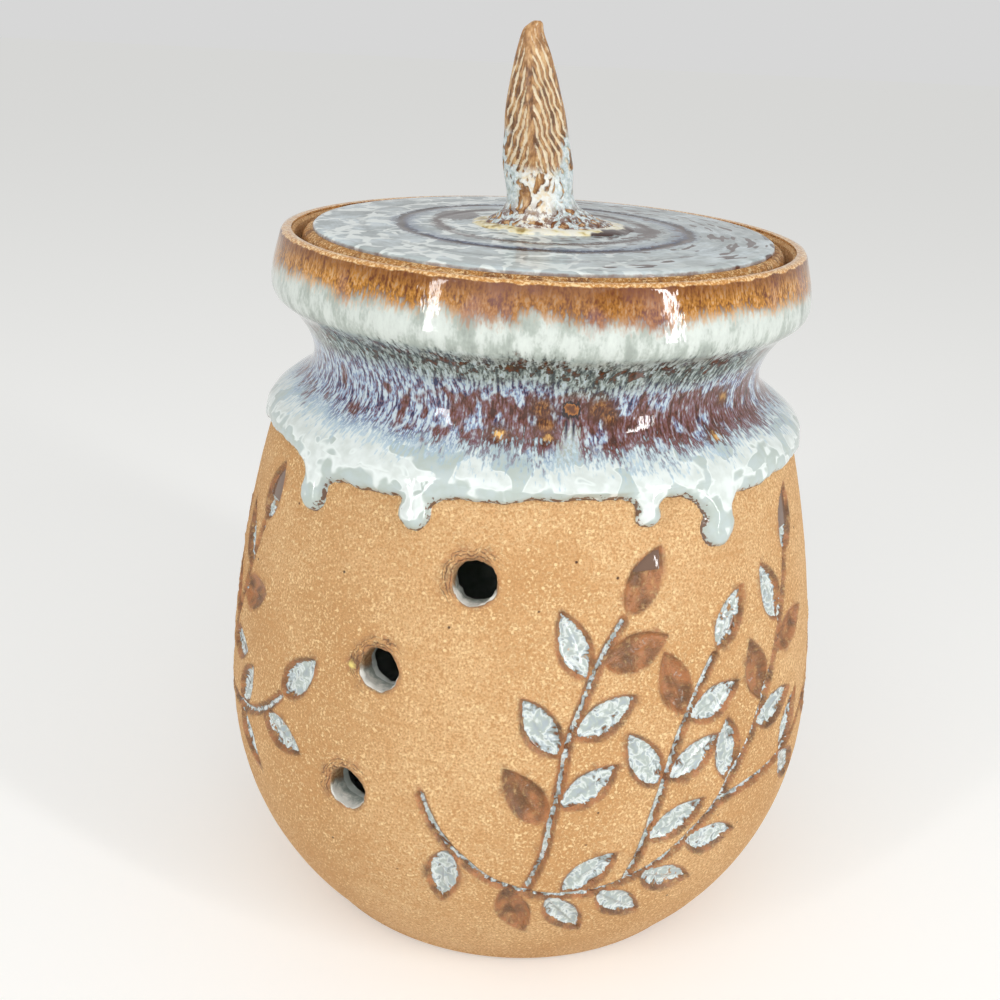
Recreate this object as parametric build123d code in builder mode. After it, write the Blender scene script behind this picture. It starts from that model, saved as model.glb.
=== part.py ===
from build123d import *

import os
from math import cos, degrees, pi, radians, sin

os.makedirs("parts", exist_ok=True)

# A wheel-thrown garlic keeper: a ventilated jar, and a drop-in lid with a horn-shaped knob.
# Millimetres, +Z up, origin at the middle of the foot. A bearing is measured about +Z from the
# front (-Y) towards +X. Outlines are (radius, height) pairs that are turned about Z.

# --- driving dimensions ----------------------------------------------------------------------
WALL = 5.5  # thrown wall of the belly, square to its surface
FLOOR = 7.0  # clay between the foot recess and the hollow

FOOT_INNER = 34.0
FOOT_OUTER = 42.4
FOOT_RECESS = 1.6  # hollow trimmed inside the foot ring
FOOT_BEVEL = 1.2
HEEL = (44.4, 1.8)  # where the belly leaves the foot
HEEL_ANGLE = 47.0  # its slope there, from level
LOWER_BELLY = (58.0, 45.6)  # radius and sweep of the arc up past the widest point
UPPER_BELLY = (221.0, 14.6)  # and of the flatter arc on to the shoulder
BELLY_COURSES = [0.0, 0.1, 0.2, 0.31, 0.43, 0.62, 0.81, 1.0]  # stations up the arcs
HOLLOW_COURSES = [0.90, 0.62, 0.34, 0.12]  # stations behind which the hollow turns
HOLLOW_CORNER = 9.0  # width of the slope between wall and floor

RIM_HEIGHT = 133.0  # top of the clay lip
GALLERY_RADIUS = 45.9  # recess that the lid drops into
GALLERY_TOP = 132.0
LEDGE_HEIGHT = 127.6  # seat of the lid
LEDGE_INNER = 39.6

VENT_DIAMETER = 7.6
VENT_COLUMN = [(-9.7, 85.5), (-25.3, 68.0), (-30.1, 43.9)]  # bearing, height
REPEATS = 3  # columns of vents round the jar, and sprigs between them
VENT_CUT = 12.0  # reach of the vent cutter to each side of the outer surface

LID_RADIUS = 44.7
LID_THICKNESS = 5.8
LID_BEVEL = 1.2
LID_GLAZE_RADIUS = 42.8
LID_GLAZE_EDGE = 0.8  # glaze above the clay at its edge
LID_GLAZE_CROWN = 1.3  # and at the middle
LID_GLAZE_SLOPE = 0.6  # how far its edge leans in

# --- outlines --------------------------------------------------------------------------------
NECK = [(42.2, 107.6), (41.4, 113.6), (48.4, 123.4), (48.2, 131.8)]
LIP = [(46.9, RIM_HEIGHT)]
THROAT = [(LEDGE_INNER, 126.4), (36.9, 117.0), (36.9, 109.0)]

# Outer surface of the run glaze, from the lip down to its rolled hem.
COAT = [
    (46.6, 133.5),
    (48.4, 133.1),
    (50.3, 125.6),
    (49.6, 122.6),
    (43.9, 116.0),
    (42.6, 111.0),
    (45.6, 105.6),
    (52.4, 100.0),
    (52.4, 98.0),
    (50.0, 97.2),
]
COAT_CORE = [(40.6, 108.4), (40.2, 113.4), (46.6, 122.4)]  # its blank's back, inside the clay

# Glaze runs below the hem: bearing, height of the tip, half width.
DRIPS = [
    (-46.0, 89.8, 3.1),
    (-22.0, 92.3, 3.0),
    (21.0, 94.2, 2.4),
    (36.5, 89.6, 4.0),
    (94.0, 90.6, 3.3),
    (148.0, 88.9, 3.7),
    (-162.0, 93.2, 2.6),
    (-104.0, 90.4, 3.4),
]
DRIP_ROOT = 98.6  # height at which every run leaves the hem
DRIP_THICKNESS = 2.1
DRIP_DRAFT = 20.0  # lean of a run's sides, degrees
DRIP_SHOULDER = 1.7  # its half width at the hem, over that at its tip
DRIP_WAIST = (0.9, 0.4)  # narrowing below the shoulder: share of half width, share of length

# Sprig pressed into the wall. Its stems are drawn on a sheet that wraps the belly: millimetres to
# the right of the front at SHEET_RADIUS, and height. Each has four control points, and the leaves
# along it: share of its length, and side (1 left, -1 right, 0 at its end).
SHEET_RADIUS = 60.0
STEMS = [
    (
        [(-17.0, 47.0), (-4.0, 16.0), (40.0, 20.0), (60.0, 82.0)],
        [(0.09, -1), (0.2, -1), (0.27, -1), (0.35, -1), (0.425, -1), (0.51, -1), (0.73, -1)]
        + [(0.855, -1), (0.29, 1), (0.63, 1), (0.77, 1), (0.9, 1), (1.0, 0)],
    ),
    (
        [(2.4, 30.4), (8.0, 44.0), (4.0, 62.0), (17.0, 80.0)],
        [(0.26, 1), (0.32, -1), (0.5, 1), (0.575, -1), (0.765, 1), (0.83, -1), (1.0, 0)],
    ),
    (
        [(20.6, 31.2), (26.0, 46.0), (26.0, 58.0), (36.0, 71.0)],
        [(0.17, -1), (0.42, 1), (0.45, -1), (0.73, 1), (0.71, -1), (1.0, 0)],
    ),
    (
        [(38.0, 42.5), (50.0, 44.0), (64.0, 41.0), (76.0, 55.0)],
        [(0.46, 1), (0.46, -1), (0.78, -1), (1.0, 0)],
    ),
]
LEAF_LENGTH = 12.4
LEAF_HALF_WIDTH = 2.9
LEAF_SHOULDERS = (0.27, 0.66)  # where along it a leaf is widest
LEAF_LEAN = 46.0  # from its stem, degrees
LEAF_GAP = 1.3  # from the middle of its stem
LEAF_DEPTH = 1.1
LEAF_DRAFT = 30.0  # lean of a leaf's sides, degrees
LEAF_LIFT = 0.3  # start of the leaf's cutter, over the wall

# The spire of the knob, in level slices: height above the lid's clay, middle, half width. It
# stands on a spread foot and leans to one side towards its tip.
KNOB = [
    (0.0, 1.7, 14.6),
    (1.6, 1.2, 12.2),
    (3.4, 0.1, 8.6),
    (6.2, -0.9, 6.3),
    (13.0, -1.8, 6.4),
    (21.4, -2.7, 5.4),
    (30.0, -3.5, 3.5),
    (34.6, -3.9, 2.0),
    (36.6, -3.2, 1.0),
]
KNOB_SIDES = 12
# Glaze pooled round the knob's foot, in the same terms.
POOL = [(0.0, 1.7, 16.8), (2.1, 1.7, 15.0)]
POOL_SIDES = 16
FLATNESS = 0.75  # depth of every such slice, over its width


# --- the belly's line and what is placed on it -----------------------------------------------------
with BuildLine() as belly_line:
    slope = radians(HEEL_ANGLE)
    lower_arc = JernArc(HEEL, (cos(slope), sin(slope)), *LOWER_BELLY)
    JernArc(lower_arc @ 1, lower_arc % 1, *UPPER_BELLY)
belly = belly_line.wire()  # X is the radius and Y the height


def belly_share(height):
    """Share of the belly's length at which it reaches a height."""
    low, high = 0.0, 1.0
    for _ in range(40):
        middle = (low + high) / 2
        if (belly @ middle).Y < height:
            low = middle
        else:
            high = middle
    return middle


def inside(share):
    """Point behind the belly by the wall's thickness."""
    spot = belly @ share
    along = belly % share
    return (spot.X - WALL * along.Y, spot.Y + WALL * along.X)


def wall_plane(bearing, height):
    """Plane that lies on the belly and faces out of it, its Y axis running up the wall."""
    share = belly_share(height)
    spot = belly @ share
    along = belly % share
    turn = radians(bearing)
    ray = Vector(sin(turn), -cos(turn), 0)
    return Plane(
        ray * spot.X + Vector(0, 0, spot.Y),
        x_dir=Vector(cos(turn), sin(turn), 0),
        z_dir=ray * along.Y - Vector(0, 0, along.X),
    )


def leaf_plane(stem, share, side, turn):
    """Plane over a leaf that faces into the wall, its X axis along the leaf."""
    heading = (stem % share).rotate(Axis.Z, side * LEAF_LEAN)
    spot = stem @ share + heading * (LEAF_GAP + LEAF_LENGTH / 2)
    wall = wall_plane(degrees(spot.X / SHEET_RADIUS) + turn, spot.Y)
    return Plane(
        wall.origin + wall.z_dir * LEAF_LIFT,
        x_dir=wall.x_dir * heading.X + wall.y_dir * heading.Y,
        z_dir=-wall.z_dir,
    )


def leaf_stamp():
    """Solid that presses one leaf, which points along X and narrows upwards."""
    tip = LEAF_LENGTH / 2
    broad = [LEAF_LENGTH * share - tip for share in LEAF_SHOULDERS]
    right = [(x, -LEAF_HALF_WIDTH) for x in broad]
    left = [(x, LEAF_HALF_WIDTH) for x in broad[::-1]]
    with BuildPart() as stamp:
        with BuildSketch():
            Polygon([(-tip, 0), *right, (tip, 0), *left], align=None)
        extrude(amount=LEAF_LIFT + LEAF_DEPTH, taper=LEAF_DRAFT)
    return stamp.part


def oval_stack(slices, sides, base):
    """Solid pared between level ovals of so many sides."""
    with BuildPart() as stack:
        for height, middle, across in slices:
            deep = across * FLATNESS
            turns = [2 * pi * (side + 0.5) / sides for side in range(sides)]
            with BuildSketch(Plane.XY.offset(base + height)):
                Polygon([(middle + across * cos(t), deep * sin(t)) for t in turns], align=None)
        loft(ruled=True)
    return stack.part


# --- jar: thrown wall, foot ring, gallery, vents and pressed leaves ---------------------------------
with BuildPart() as jar_wall:
    floor_height = FOOT_RECESS + FLOOR
    courses = [tuple(belly @ share)[:2] for share in BELLY_COURSES]
    hollow = THROAT + [inside(share) for share in HOLLOW_COURSES]
    with BuildSketch(Plane.XZ):
        with BuildLine():
            Polyline(
                *courses,
                *NECK,
                *LIP,
                (GALLERY_RADIUS, GALLERY_TOP),
                (GALLERY_RADIUS, LEDGE_HEIGHT),
                (LEDGE_INNER, LEDGE_HEIGHT),
                *hollow,
                (hollow[-1][0] - HOLLOW_CORNER, floor_height),
                (0, floor_height),
                (0, FOOT_RECESS),
                (FOOT_INNER - FOOT_BEVEL, FOOT_RECESS),
                (FOOT_INNER, 0),
                (FOOT_OUTER, 0),
                close=True,
            )
        make_face()
    revolve(axis=Axis.Z)
    turns = [360 * repeat / REPEATS for repeat in range(REPEATS)]
    vents = [wall_plane(bearing + turn, height) for turn in turns for bearing, height in VENT_COLUMN]
    with BuildSketch(*vents):
        Circle(VENT_DIAMETER / 2)
    extrude(amount=VENT_CUT, both=True, mode=Mode.SUBTRACT)
    leaves = [
        leaf_plane(Bezier(*controls), share, side, turn)
        for turn in turns
        for controls, placed in STEMS
        for share, side in placed
    ]
    with Locations(*leaves):
        add(leaf_stamp(), mode=Mode.SUBTRACT)
jar_wall.part.label = "jar_wall"
export_step(jar_wall.part, "parts/jar_wall.step")

# --- run glaze on the collar, neck and shoulder ------------------------------------------------------
with BuildPart() as collar_glaze:
    with BuildSketch(Plane.XZ):
        with BuildLine():
            Polyline(*COAT, *COAT_CORE, close=True)
        make_face()
    revolve(axis=Axis.Z)
    for bearing, tip_height, half_width in DRIPS:
        length = DRIP_ROOT - tip_height
        waist = half_width * DRIP_WAIST[0]
        shoulder = half_width * DRIP_SHOULDER
        with BuildSketch(wall_plane(bearing, DRIP_ROOT)):
            with BuildLine():
                bulb = ThreePointArc(
                    (-half_width, half_width - length),
                    (0, -length),
                    (half_width, half_width - length),
                )
                Polyline(
                    bulb @ 1,
                    (waist, -length * DRIP_WAIST[1]),
                    (shoulder, 0),
                    (-shoulder, 0),
                    (-waist, -length * DRIP_WAIST[1]),
                    bulb @ 0,
                )
            make_face()
        extrude(amount=DRIP_THICKNESS, taper=DRIP_DRAFT)
    add(jar_wall.part, mode=Mode.SUBTRACT)
collar_glaze.part.label = "collar_glaze"
export_step(collar_glaze.part, "parts/collar_glaze.step")

# --- lid ---------------------------------------------------------------------------------------------
lid_top = LEDGE_HEIGHT + LID_THICKNESS

with BuildPart() as lid_disc:
    with BuildSketch(Plane.XY.offset(LEDGE_HEIGHT)):
        Circle(LID_RADIUS)
    extrude(amount=LID_THICKNESS)
    under, over = lid_disc.faces().filter_by(Axis.Z).sort_by(Axis.Z)
    chamfer(over.edges(), LID_BEVEL)
    chamfer(under.edges(), LID_BEVEL / 2)
lid_disc.part.label = "lid_disc"
export_step(lid_disc.part, "parts/lid_disc.step")

with BuildPart() as knob:
    add(oval_stack(KNOB, KNOB_SIDES, lid_top))
knob.part.label = "knob"
export_step(knob.part, "parts/knob.step")

with BuildPart() as knob_foot_glaze:
    add(oval_stack(POOL, POOL_SIDES, lid_top))
    add(knob.part, mode=Mode.SUBTRACT)
knob_foot_glaze.part.label = "knob_foot_glaze"
export_step(knob_foot_glaze.part, "parts/knob_foot_glaze.step")

with BuildPart() as lid_glaze:
    with BuildSketch(Plane.XZ):
        with BuildLine():
            Polyline(
                (0, lid_top),
                (LID_GLAZE_RADIUS, lid_top),
                (LID_GLAZE_RADIUS - LID_GLAZE_SLOPE, lid_top + LID_GLAZE_EDGE),
                (0, lid_top + LID_GLAZE_CROWN),
                close=True,
            )
        make_face()
    revolve(axis=Axis.Z)
    add(knob.part, mode=Mode.SUBTRACT)
    add(knob_foot_glaze.part, mode=Mode.SUBTRACT)
lid_glaze.part.label = "lid_glaze"
export_step(lid_glaze.part, "parts/lid_glaze.step")
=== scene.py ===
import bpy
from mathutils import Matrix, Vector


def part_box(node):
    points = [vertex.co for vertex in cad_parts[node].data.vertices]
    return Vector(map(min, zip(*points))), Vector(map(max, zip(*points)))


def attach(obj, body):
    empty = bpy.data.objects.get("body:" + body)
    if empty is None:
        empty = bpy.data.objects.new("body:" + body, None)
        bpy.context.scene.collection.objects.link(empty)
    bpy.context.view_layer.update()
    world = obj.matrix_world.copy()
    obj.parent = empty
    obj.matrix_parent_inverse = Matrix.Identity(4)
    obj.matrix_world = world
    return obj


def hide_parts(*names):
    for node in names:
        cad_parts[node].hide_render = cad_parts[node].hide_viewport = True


bl_info = {
    "name": "Garlic keeper",
    "version": (1, 0, 0),
    "blender": (4, 5, 0),
    "location": "View3D > Sidebar > Keeper",
    "description": "A thrown and vented stoneware keeper with a run-glaze collar and a horn-knobbed lid",
    "category": "Add Mesh",
}

from math import atan2, cos, pi, radians, sin

import bpy
import numpy as np
from mathutils import Matrix, Vector, noise

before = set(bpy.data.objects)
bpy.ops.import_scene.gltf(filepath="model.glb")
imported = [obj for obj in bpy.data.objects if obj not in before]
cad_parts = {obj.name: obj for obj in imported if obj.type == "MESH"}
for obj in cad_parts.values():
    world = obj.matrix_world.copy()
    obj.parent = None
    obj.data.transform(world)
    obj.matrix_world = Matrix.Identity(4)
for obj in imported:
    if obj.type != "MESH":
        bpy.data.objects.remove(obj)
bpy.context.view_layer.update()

# Outlines and reliefs below are in millimetres, and Blender's units are metres. A bearing is
# measured about +Z from the front (-Y) towards +X, in degrees.
MM = 0.001


# --- sizes and colours a user may change ---------------------------------------------------------
def length(name, description, size):
    """A length property. The size is given in millimetres."""
    return bpy.props.FloatProperty(
        name=name, description=description, default=size * MM, unit="LENGTH", precision=5
    )


def amount(name, description, value, unit="NONE"):
    """A plain number, or an angle in radians."""
    return bpy.props.FloatProperty(name=name, description=description, default=value, unit=unit)


def count(name, description, value):
    """A whole-number property."""
    return bpy.props.IntProperty(name=name, description=description, default=value, min=3)


def colour(name, description, red, green, blue):
    """A colour property. The colour is given as display values from 0 to 255."""
    linear = [((c / 255 + 0.055) / 1.055) ** 2.4 for c in (red, green, blue)]
    return bpy.props.FloatVectorProperty(
        name=name, description=description, default=linear, subtype="COLOR", size=3, min=0, max=1
    )


class KeeperWall(bpy.types.PropertyGroup):
    """Sizes of the thrown wall and of what is cut and pressed into it."""

    steps: count("Steps", "Steps round the wall", 288)
    row: length("Row", "Spacing of the rows up the belly", 1.35)
    throwing: length("Throwing rings", "Relief of the finger rings", 0.05)
    vent: length("Vent", "Diameter of an air vent", 7.6)
    burr: length("Burr", "Height of the torn clay round a vent", 0.35)
    stem: length("Stem", "Width of an incised stem", 1.8)
    carved: length("Carved", "Depth of an incised stem", 0.8)
    pressed: length("Pressed", "Depth of a pressed leaf", 1.1)


class KeeperCollar(bpy.types.PropertyGroup):
    """Sizes of the run glaze on rim, neck and shoulder."""

    steps: count("Steps", "Steps round the collar", 640)
    row: length("Row", "Spacing of the rows down the collar", 0.8)
    hem_row: length("Hem row", "Spacing of the rows across the hem and its drips", 0.36)
    roll: length("Roll", "Thickness of the rolled hem", 1.5)
    meniscus: length("Meniscus", "Width over which the hem rounds down to the clay", 2.2)
    bead: length("Bead", "Extra thickness just inside the hem", 0.3)


class KeeperLid(bpy.types.PropertyGroup):
    """Sizes of the drop-in lid and of the glaze on it."""

    steps: count("Steps", "Steps round the lid", 288)
    glaze_reach: length("Glaze reach", "Radius of the glazed field", 42.8)
    glaze_edge: length("Glaze edge", "Height of the glaze above the clay at its edge", 0.75)
    glaze_crown: length("Glaze crown", "Height of the glaze above the clay at the middle", 1.25)


class KeeperKnob(bpy.types.PropertyGroup):
    """Sizes of the horn-shaped knob."""

    steps: count("Steps", "Steps round the knob", 168)
    rows: count("Rows", "Rows up the knob", 150)
    groove: length("Groove", "Depth of the herringbone grooves", 0.4)
    rise: length("Rise", "Climb from one groove to the next", 3.1)
    spacing: length("Spacing", "Distance across from one groove to the next", 0.95)


class KeeperColours(bpy.types.PropertyGroup):
    """Colours of the clay and of the glazes."""

    clay: colour("Clay", "Bare stoneware", 223, 179, 127)
    clay_dark: colour("Clay, toasted", "Bare stoneware where the flame caught it", 198, 146, 90)
    grog: colour("Grog", "Light grains in the clay", 250, 214, 158)
    toast: colour("Toast", "Clay of the lid's rim and the lip", 204, 142, 72)
    rust: colour("Rust", "Iron stain at the edge of a cut", 132, 84, 50)
    pit: colour("Pit", "Dark pinholes", 84, 52, 30)
    celadon: colour("Celadon", "Pale band of the collar", 214, 221, 214)
    moss: colour("Moss", "Grey-green mottle in the pale band", 183, 192, 183)
    amber: colour("Amber", "Where the glaze breaks thin over the rim", 172, 116, 40)
    amber_dark: colour("Dark amber", "Streaks over the rim", 108, 54, 16)
    navy: colour("Navy", "Darkest streaks on the neck", 44, 50, 84)
    plum: colour("Plum", "Brown streaks on the neck", 98, 58, 46)
    mauve: colour("Mauve", "Middle streaks on the neck", 126, 98, 108)
    sky: colour("Sky", "Blue streaks on the neck", 134, 156, 188)
    mist: colour("Mist", "Pale streaks on the neck", 202, 215, 220)
    shadow: colour("Shade", "Under the collar", 108, 116, 110)
    cream: colour("White", "Clouded white of the roll", 229, 236, 233)
    sage: colour("Sage", "Clear pooled glaze at the hem", 186, 197, 190)
    slate: colour("Slate", "Grey of the lid's glaze", 166, 177, 178)
    umber: colour("Umber", "Brown rings of the lid's glaze", 78, 52, 46)


class KeeperStage(bpy.types.PropertyGroup):
    """Camera, lamps and floor."""

    eye: bpy.props.FloatVectorProperty(
        name="Eye",
        description="Place of the camera",
        default=(-5.6 * MM, -227.4 * MM, 169.0 * MM),
        subtype="XYZ",
        unit="LENGTH",
    )
    pitch: amount("Pitch", "How far the camera looks down", radians(21.58), "ROTATION")
    roll: amount("Roll", "How far the camera is tipped", radians(2.84), "ROTATION")
    lens: amount("Lens", "Focal length, in millimetres", 43.2)
    floor: colour("Floor", "Pale floor and backdrop", 232, 232, 230)
    glow: amount("Glow", "How much brighter the floor looks than it is lit", 0.32)
    sky_light: amount("Sky", "Strength of the even light", 0.52)
    backdrop: amount("Backdrop", "Brightness of the backdrop as it is seen", 0.68)
    tall_light: amount("Tall lamps", "Power of the left tall lamp, in watts", 0.92)


class KeeperSettings(bpy.types.PropertyGroup):
    """All of the keeper's settings."""

    wall: bpy.props.PointerProperty(type=KeeperWall)
    collar: bpy.props.PointerProperty(type=KeeperCollar)
    lid: bpy.props.PointerProperty(type=KeeperLid)
    knob: bpy.props.PointerProperty(type=KeeperKnob)
    colours: bpy.props.PointerProperty(type=KeeperColours)
    stage: bpy.props.PointerProperty(type=KeeperStage)


# --- modelling helpers -----------------------------------------------------------------------------
def start_fresh():
    """Leaves edit mode and deselects everything."""
    if bpy.context.object and bpy.context.object.mode != "OBJECT":
        bpy.ops.object.mode_set(mode="OBJECT")
    bpy.ops.object.select_all(action="DESELECT")


def pick(piece):
    """Makes a piece the only selected and active one."""
    start_fresh()
    piece.select_set(True)
    bpy.context.view_layer.objects.active = piece


def turned(name, outline, steps, closed=False):
    """A piece turned about Z from an outline of (radius, height) points."""
    start_fresh()
    bpy.ops.mesh.primitive_plane_add(size=MM)
    piece = bpy.context.object
    piece.name = piece.data.name = name
    bpy.ops.object.mode_set(mode="EDIT")
    bpy.ops.mesh.select_mode(type="VERT")
    bpy.ops.mesh.select_all(action="SELECT")
    bpy.ops.mesh.merge(type="CENTER")
    bpy.ops.transform.translate(value=(outline[0][0] * MM, 0, outline[0][1] * MM))
    stops = list(outline) + [outline[0]] * closed
    for here, there in zip(stops, stops[1:]):
        step = ((there[0] - here[0]) * MM, 0, (there[1] - here[1]) * MM)
        bpy.ops.mesh.extrude_region_move(TRANSFORM_OT_translate={"value": step})
    bpy.ops.mesh.select_all(action="SELECT")
    bpy.ops.mesh.remove_doubles(threshold=0.002 * MM)
    bpy.ops.mesh.spin(steps=steps, angle=2 * pi, center=(0, 0, 0), axis=(0, 0, 1))
    bpy.ops.mesh.select_all(action="SELECT")
    bpy.ops.mesh.remove_doubles(threshold=0.002 * MM)
    bpy.ops.mesh.normals_make_consistent(inside=False)
    bpy.ops.object.mode_set(mode="OBJECT")
    return piece


def places(piece):
    """A piece's vertices as an array, in millimetres."""
    flat = np.empty(len(piece.data.vertices) * 3, np.float32)
    piece.data.vertices.foreach_get("co", flat)
    return flat.reshape(-1, 3).astype(float) / MM


def place(piece, points):
    """Moves a piece's vertices to an array of points, in millimetres."""
    piece.data.vertices.foreach_set("co", (points * MM).astype(np.float32).ravel())
    piece.data.update()


def middles(piece):
    """Middles of a piece's faces, in millimetres."""
    flat = np.empty(len(piece.data.polygons) * 3, np.float32)
    piece.data.polygons.foreach_get("center", flat)
    return flat.reshape(-1, 3).astype(float) / MM


def mark(piece, **marks):
    """Stores named values for each vertex, for the piece's material to read."""
    for name, values in marks.items():
        layer = piece.data.attributes.new(name, "FLOAT", "POINT")
        layer.data.foreach_set("value", np.asarray(values, np.float32))


def refine(piece, chosen, cuts):
    """Subdivides the chosen faces of a piece."""
    pick(piece)
    bpy.ops.object.mode_set(mode="EDIT")
    bpy.ops.mesh.select_mode(type="FACE")
    bpy.ops.mesh.select_all(action="DESELECT")
    bpy.ops.object.mode_set(mode="OBJECT")
    piece.data.polygons.foreach_set("select", chosen)
    bpy.ops.object.mode_set(mode="EDIT")
    bpy.ops.mesh.subdivide(number_cuts=cuts)
    bpy.ops.object.mode_set(mode="OBJECT")


def finish_piece(piece, body, material, node, crease=40.0):
    """Smooths a piece, paints it, ties it to its body, and hides the node that it stands for."""
    pick(piece)
    bpy.ops.object.shade_smooth_by_angle(angle=radians(crease))
    piece.data.materials.clear()
    piece.data.materials.append(material)
    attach(piece, body)
    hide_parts(node)
    start_fresh()


def bearings(points):
    """Bearing of each point, in degrees."""
    return np.degrees(np.arctan2(points[:, 0], -points[:, 1]))


def from_bearing(points, bearing):
    """Turn from a bearing to each point, from -180 to 180 degrees."""
    return (bearings(points) - bearing + 180) % 360 - 180


def radii(points):
    """Distance of each point from the axis."""
    return np.hypot(points[:, 0], points[:, 1])


def rough(points, size, seed=0.0):
    """Smooth noise at each point, about -1 to 1, with lumps of a given size."""
    shift = Vector((7.3 * seed, 3.1 * seed, 5.7 * seed))
    return np.array([noise.noise(Vector(p) / size + shift) for p in points])


def rough_along(values, size, seed):
    """Smooth noise along one measure."""
    return rough(np.column_stack([values, 0 * values, 0 * values]), size, seed)


def ease(value, low, high):
    """Smooth step from 0 at low to 1 at high."""
    share = np.clip((value - low) / (high - low), 0, 1)
    return share * share * (3 - 2 * share)


def hill(value, middle, width):
    """A smooth hill of height 1."""
    return np.exp(-(((value - middle) / width) ** 2))


def smooth_line(stations, parts=8):
    """Points on a smooth line through all the stations, with so many parts to each gap."""
    held = [stations[0], *stations, stations[-1]]
    points = []
    for before, here, there, after in zip(held, held[1:], held[2:], held[3:]):
        before, here, there, after = map(np.array, (before, here, there, after))
        for t in np.arange(parts) / parts:
            points.append(
                0.5
                * (
                    2 * here
                    + (there - before) * t
                    + (2 * before - 5 * here + 4 * there - after) * t**2
                    + (3 * here - before - 3 * there + after) * t**3
                )
            )
    points.append(np.array(stations[-1], float))
    return np.array(points)


def even_line(points, step):
    """The same line with its points about a step apart."""
    points = np.asarray(points, float)
    run = np.concatenate([[0], np.cumsum(np.hypot(*np.diff(points, axis=0).T))])
    stops = np.linspace(0, run[-1], max(2, round(run[-1] / step) + 1))
    return np.column_stack([np.interp(stops, run, points[:, axis]) for axis in (0, 1)])


# --- the jar's thrown line ---------------------------------------------------------------------------
HEEL = (44.4, 1.8)
HEEL_ANGLE = 47.0
LOWER_BELLY = (58.0, 45.6)  # radius and sweep of the arc from the heel
UPPER_BELLY = (221.0, 16.0)  # and of the flatter arc up to the shoulder
WALL_THICKNESS = 5.5
SHOULDER = 99.3  # height at which the neck leaves the belly
FOOT = [(0.0, 1.6), (12.0, 1.6), (24.0, 1.6), (32.8, 1.6), (34.0, 0.3), (34.4, 0.0), (41.9, 0.0)]
NECK_AND_LIP = [
    (42.2, 107.6), (41.4, 113.6), (48.4, 123.4), (48.2, 131.8), (47.9, 132.5), (47.2, 132.95),
    (46.4, 132.9), (45.95, 132.4),
]
GALLERY = [(45.9, 131.4), (45.9, 127.75), (45.6, 127.6), (40.1, 127.6), (39.6, 127.1)]
THROAT = [(39.5, 126.2), (38.0, 121.0), (36.9, 116.0), (36.9, 109.5)]
UNDER_SHOULDER = [(40.9, 101.6), (45.0, 93.4)]  # inside, from the throat out to the belly
INSIDE_SPAN = (16, 86)  # heights between which the inside follows the outside
FLOOR_BEND = [(46.4, 13.8), (43.6, 10.6), (40.6, 9.1)]
FLOOR_HEIGHT = 8.6
FLOOR_RADII = (37.0, 30.0, 20.0, 10.0, 0.0)
LINER_SPLIT = 99  # height over which the liner glaze is told by its radius
LINER_REACH = 39.7
LINER_TOP = 127.3


def arc_up(start, heading, radius, sweep, parts=60):
    """Points up an arc that turns left out of a heading, in degrees."""
    middle = (start[0] - radius * sin(radians(heading)), start[1] + radius * cos(radians(heading)))
    turns = np.radians(np.linspace(heading, heading + sweep, parts))
    return np.column_stack([middle[0] + radius * np.sin(turns), middle[1] - radius * np.cos(turns)])


LOWER_ARC = arc_up(HEEL, HEEL_ANGLE, *LOWER_BELLY)
UPPER_ARC = arc_up(LOWER_ARC[-1], HEEL_ANGLE + LOWER_BELLY[1], *UPPER_BELLY)
BELLY_LINE = np.concatenate([LOWER_ARC, UPPER_ARC[1:]])


def belly_radius(height):
    """Radius of the belly's outside at a height."""
    return np.interp(height, BELLY_LINE[:, 1], BELLY_LINE[:, 0])


def belly_lean(height):
    """How far the belly's outward face looks up (-1 to 1), and out."""
    rise = 0.5
    run = (belly_radius(height + rise) - belly_radius(height - rise)) / (2 * rise)
    return -run / np.sqrt(1 + run**2), 1 / np.sqrt(1 + run**2)


def push_out(points, relief):
    """Points moved square to the belly by a relief."""
    up, out = belly_lean(points[:, 2])
    ray = points[:, :2] / np.maximum(radii(points), 1e-6)[:, None]
    moved = points.copy()
    moved[:, :2] += ray * (relief * out)[:, None]
    moved[:, 2] += relief * up
    return moved


# --- vents -------------------------------------------------------------------------------------------
VENT_COLUMN = [(-9.7, 85.5), (-25.3, 68.0), (-30.1, 43.9)]  # bearing and height of each vent
REPEATS = 3  # times that the vents and the sprig go round
VENTS = [(bearing + 360 * k / REPEATS, height) for k in range(REPEATS) for bearing, height in VENT_COLUMN]
BORE_DEPTH = 11.0  # how far a vent's cutter reaches into the wall
FINER_BY_SPRIG = 0.7  # how far from the sprig the wall's faces are finer
FINER_BY_VENT = 1.8  # and from a vent's edge
TORN_REACH = 6.0  # how far from a vent's edge its torn clay may reach
TORN_DEPTH = 14.0
TORN_ARCS = [(0.45, 0.22), (1.15, 0.18), (1.75, 0.15)]  # distance from a vent's edge, and width
CRUMB_AWAY = 1.5  # from the middle vent's edge to the crumb beside it


def vent_frame(bearing, height):
    """Middle of a vent on the wall, with its across, up and out directions."""
    up, out = belly_lean(height)
    ray = Vector((sin(radians(bearing)), -cos(radians(bearing)), 0))
    outward = ray * float(out) + Vector((0, 0, float(up)))
    across = Vector((cos(radians(bearing)), sin(radians(bearing)), 0))
    return ray * float(belly_radius(height)) + Vector((0, 0, height)), across, outward.cross(across), outward


def in_vent(points, vent):
    """Distance of each point from a vent's axis, across and up its face, and out of the wall."""
    middle, across, upward, outward = vent_frame(*vent)
    offset = points - np.array(middle)
    side = offset @ np.array(across)
    rise = offset @ np.array(upward)
    return np.hypot(side, rise), side, rise, offset @ np.array(outward)


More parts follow.
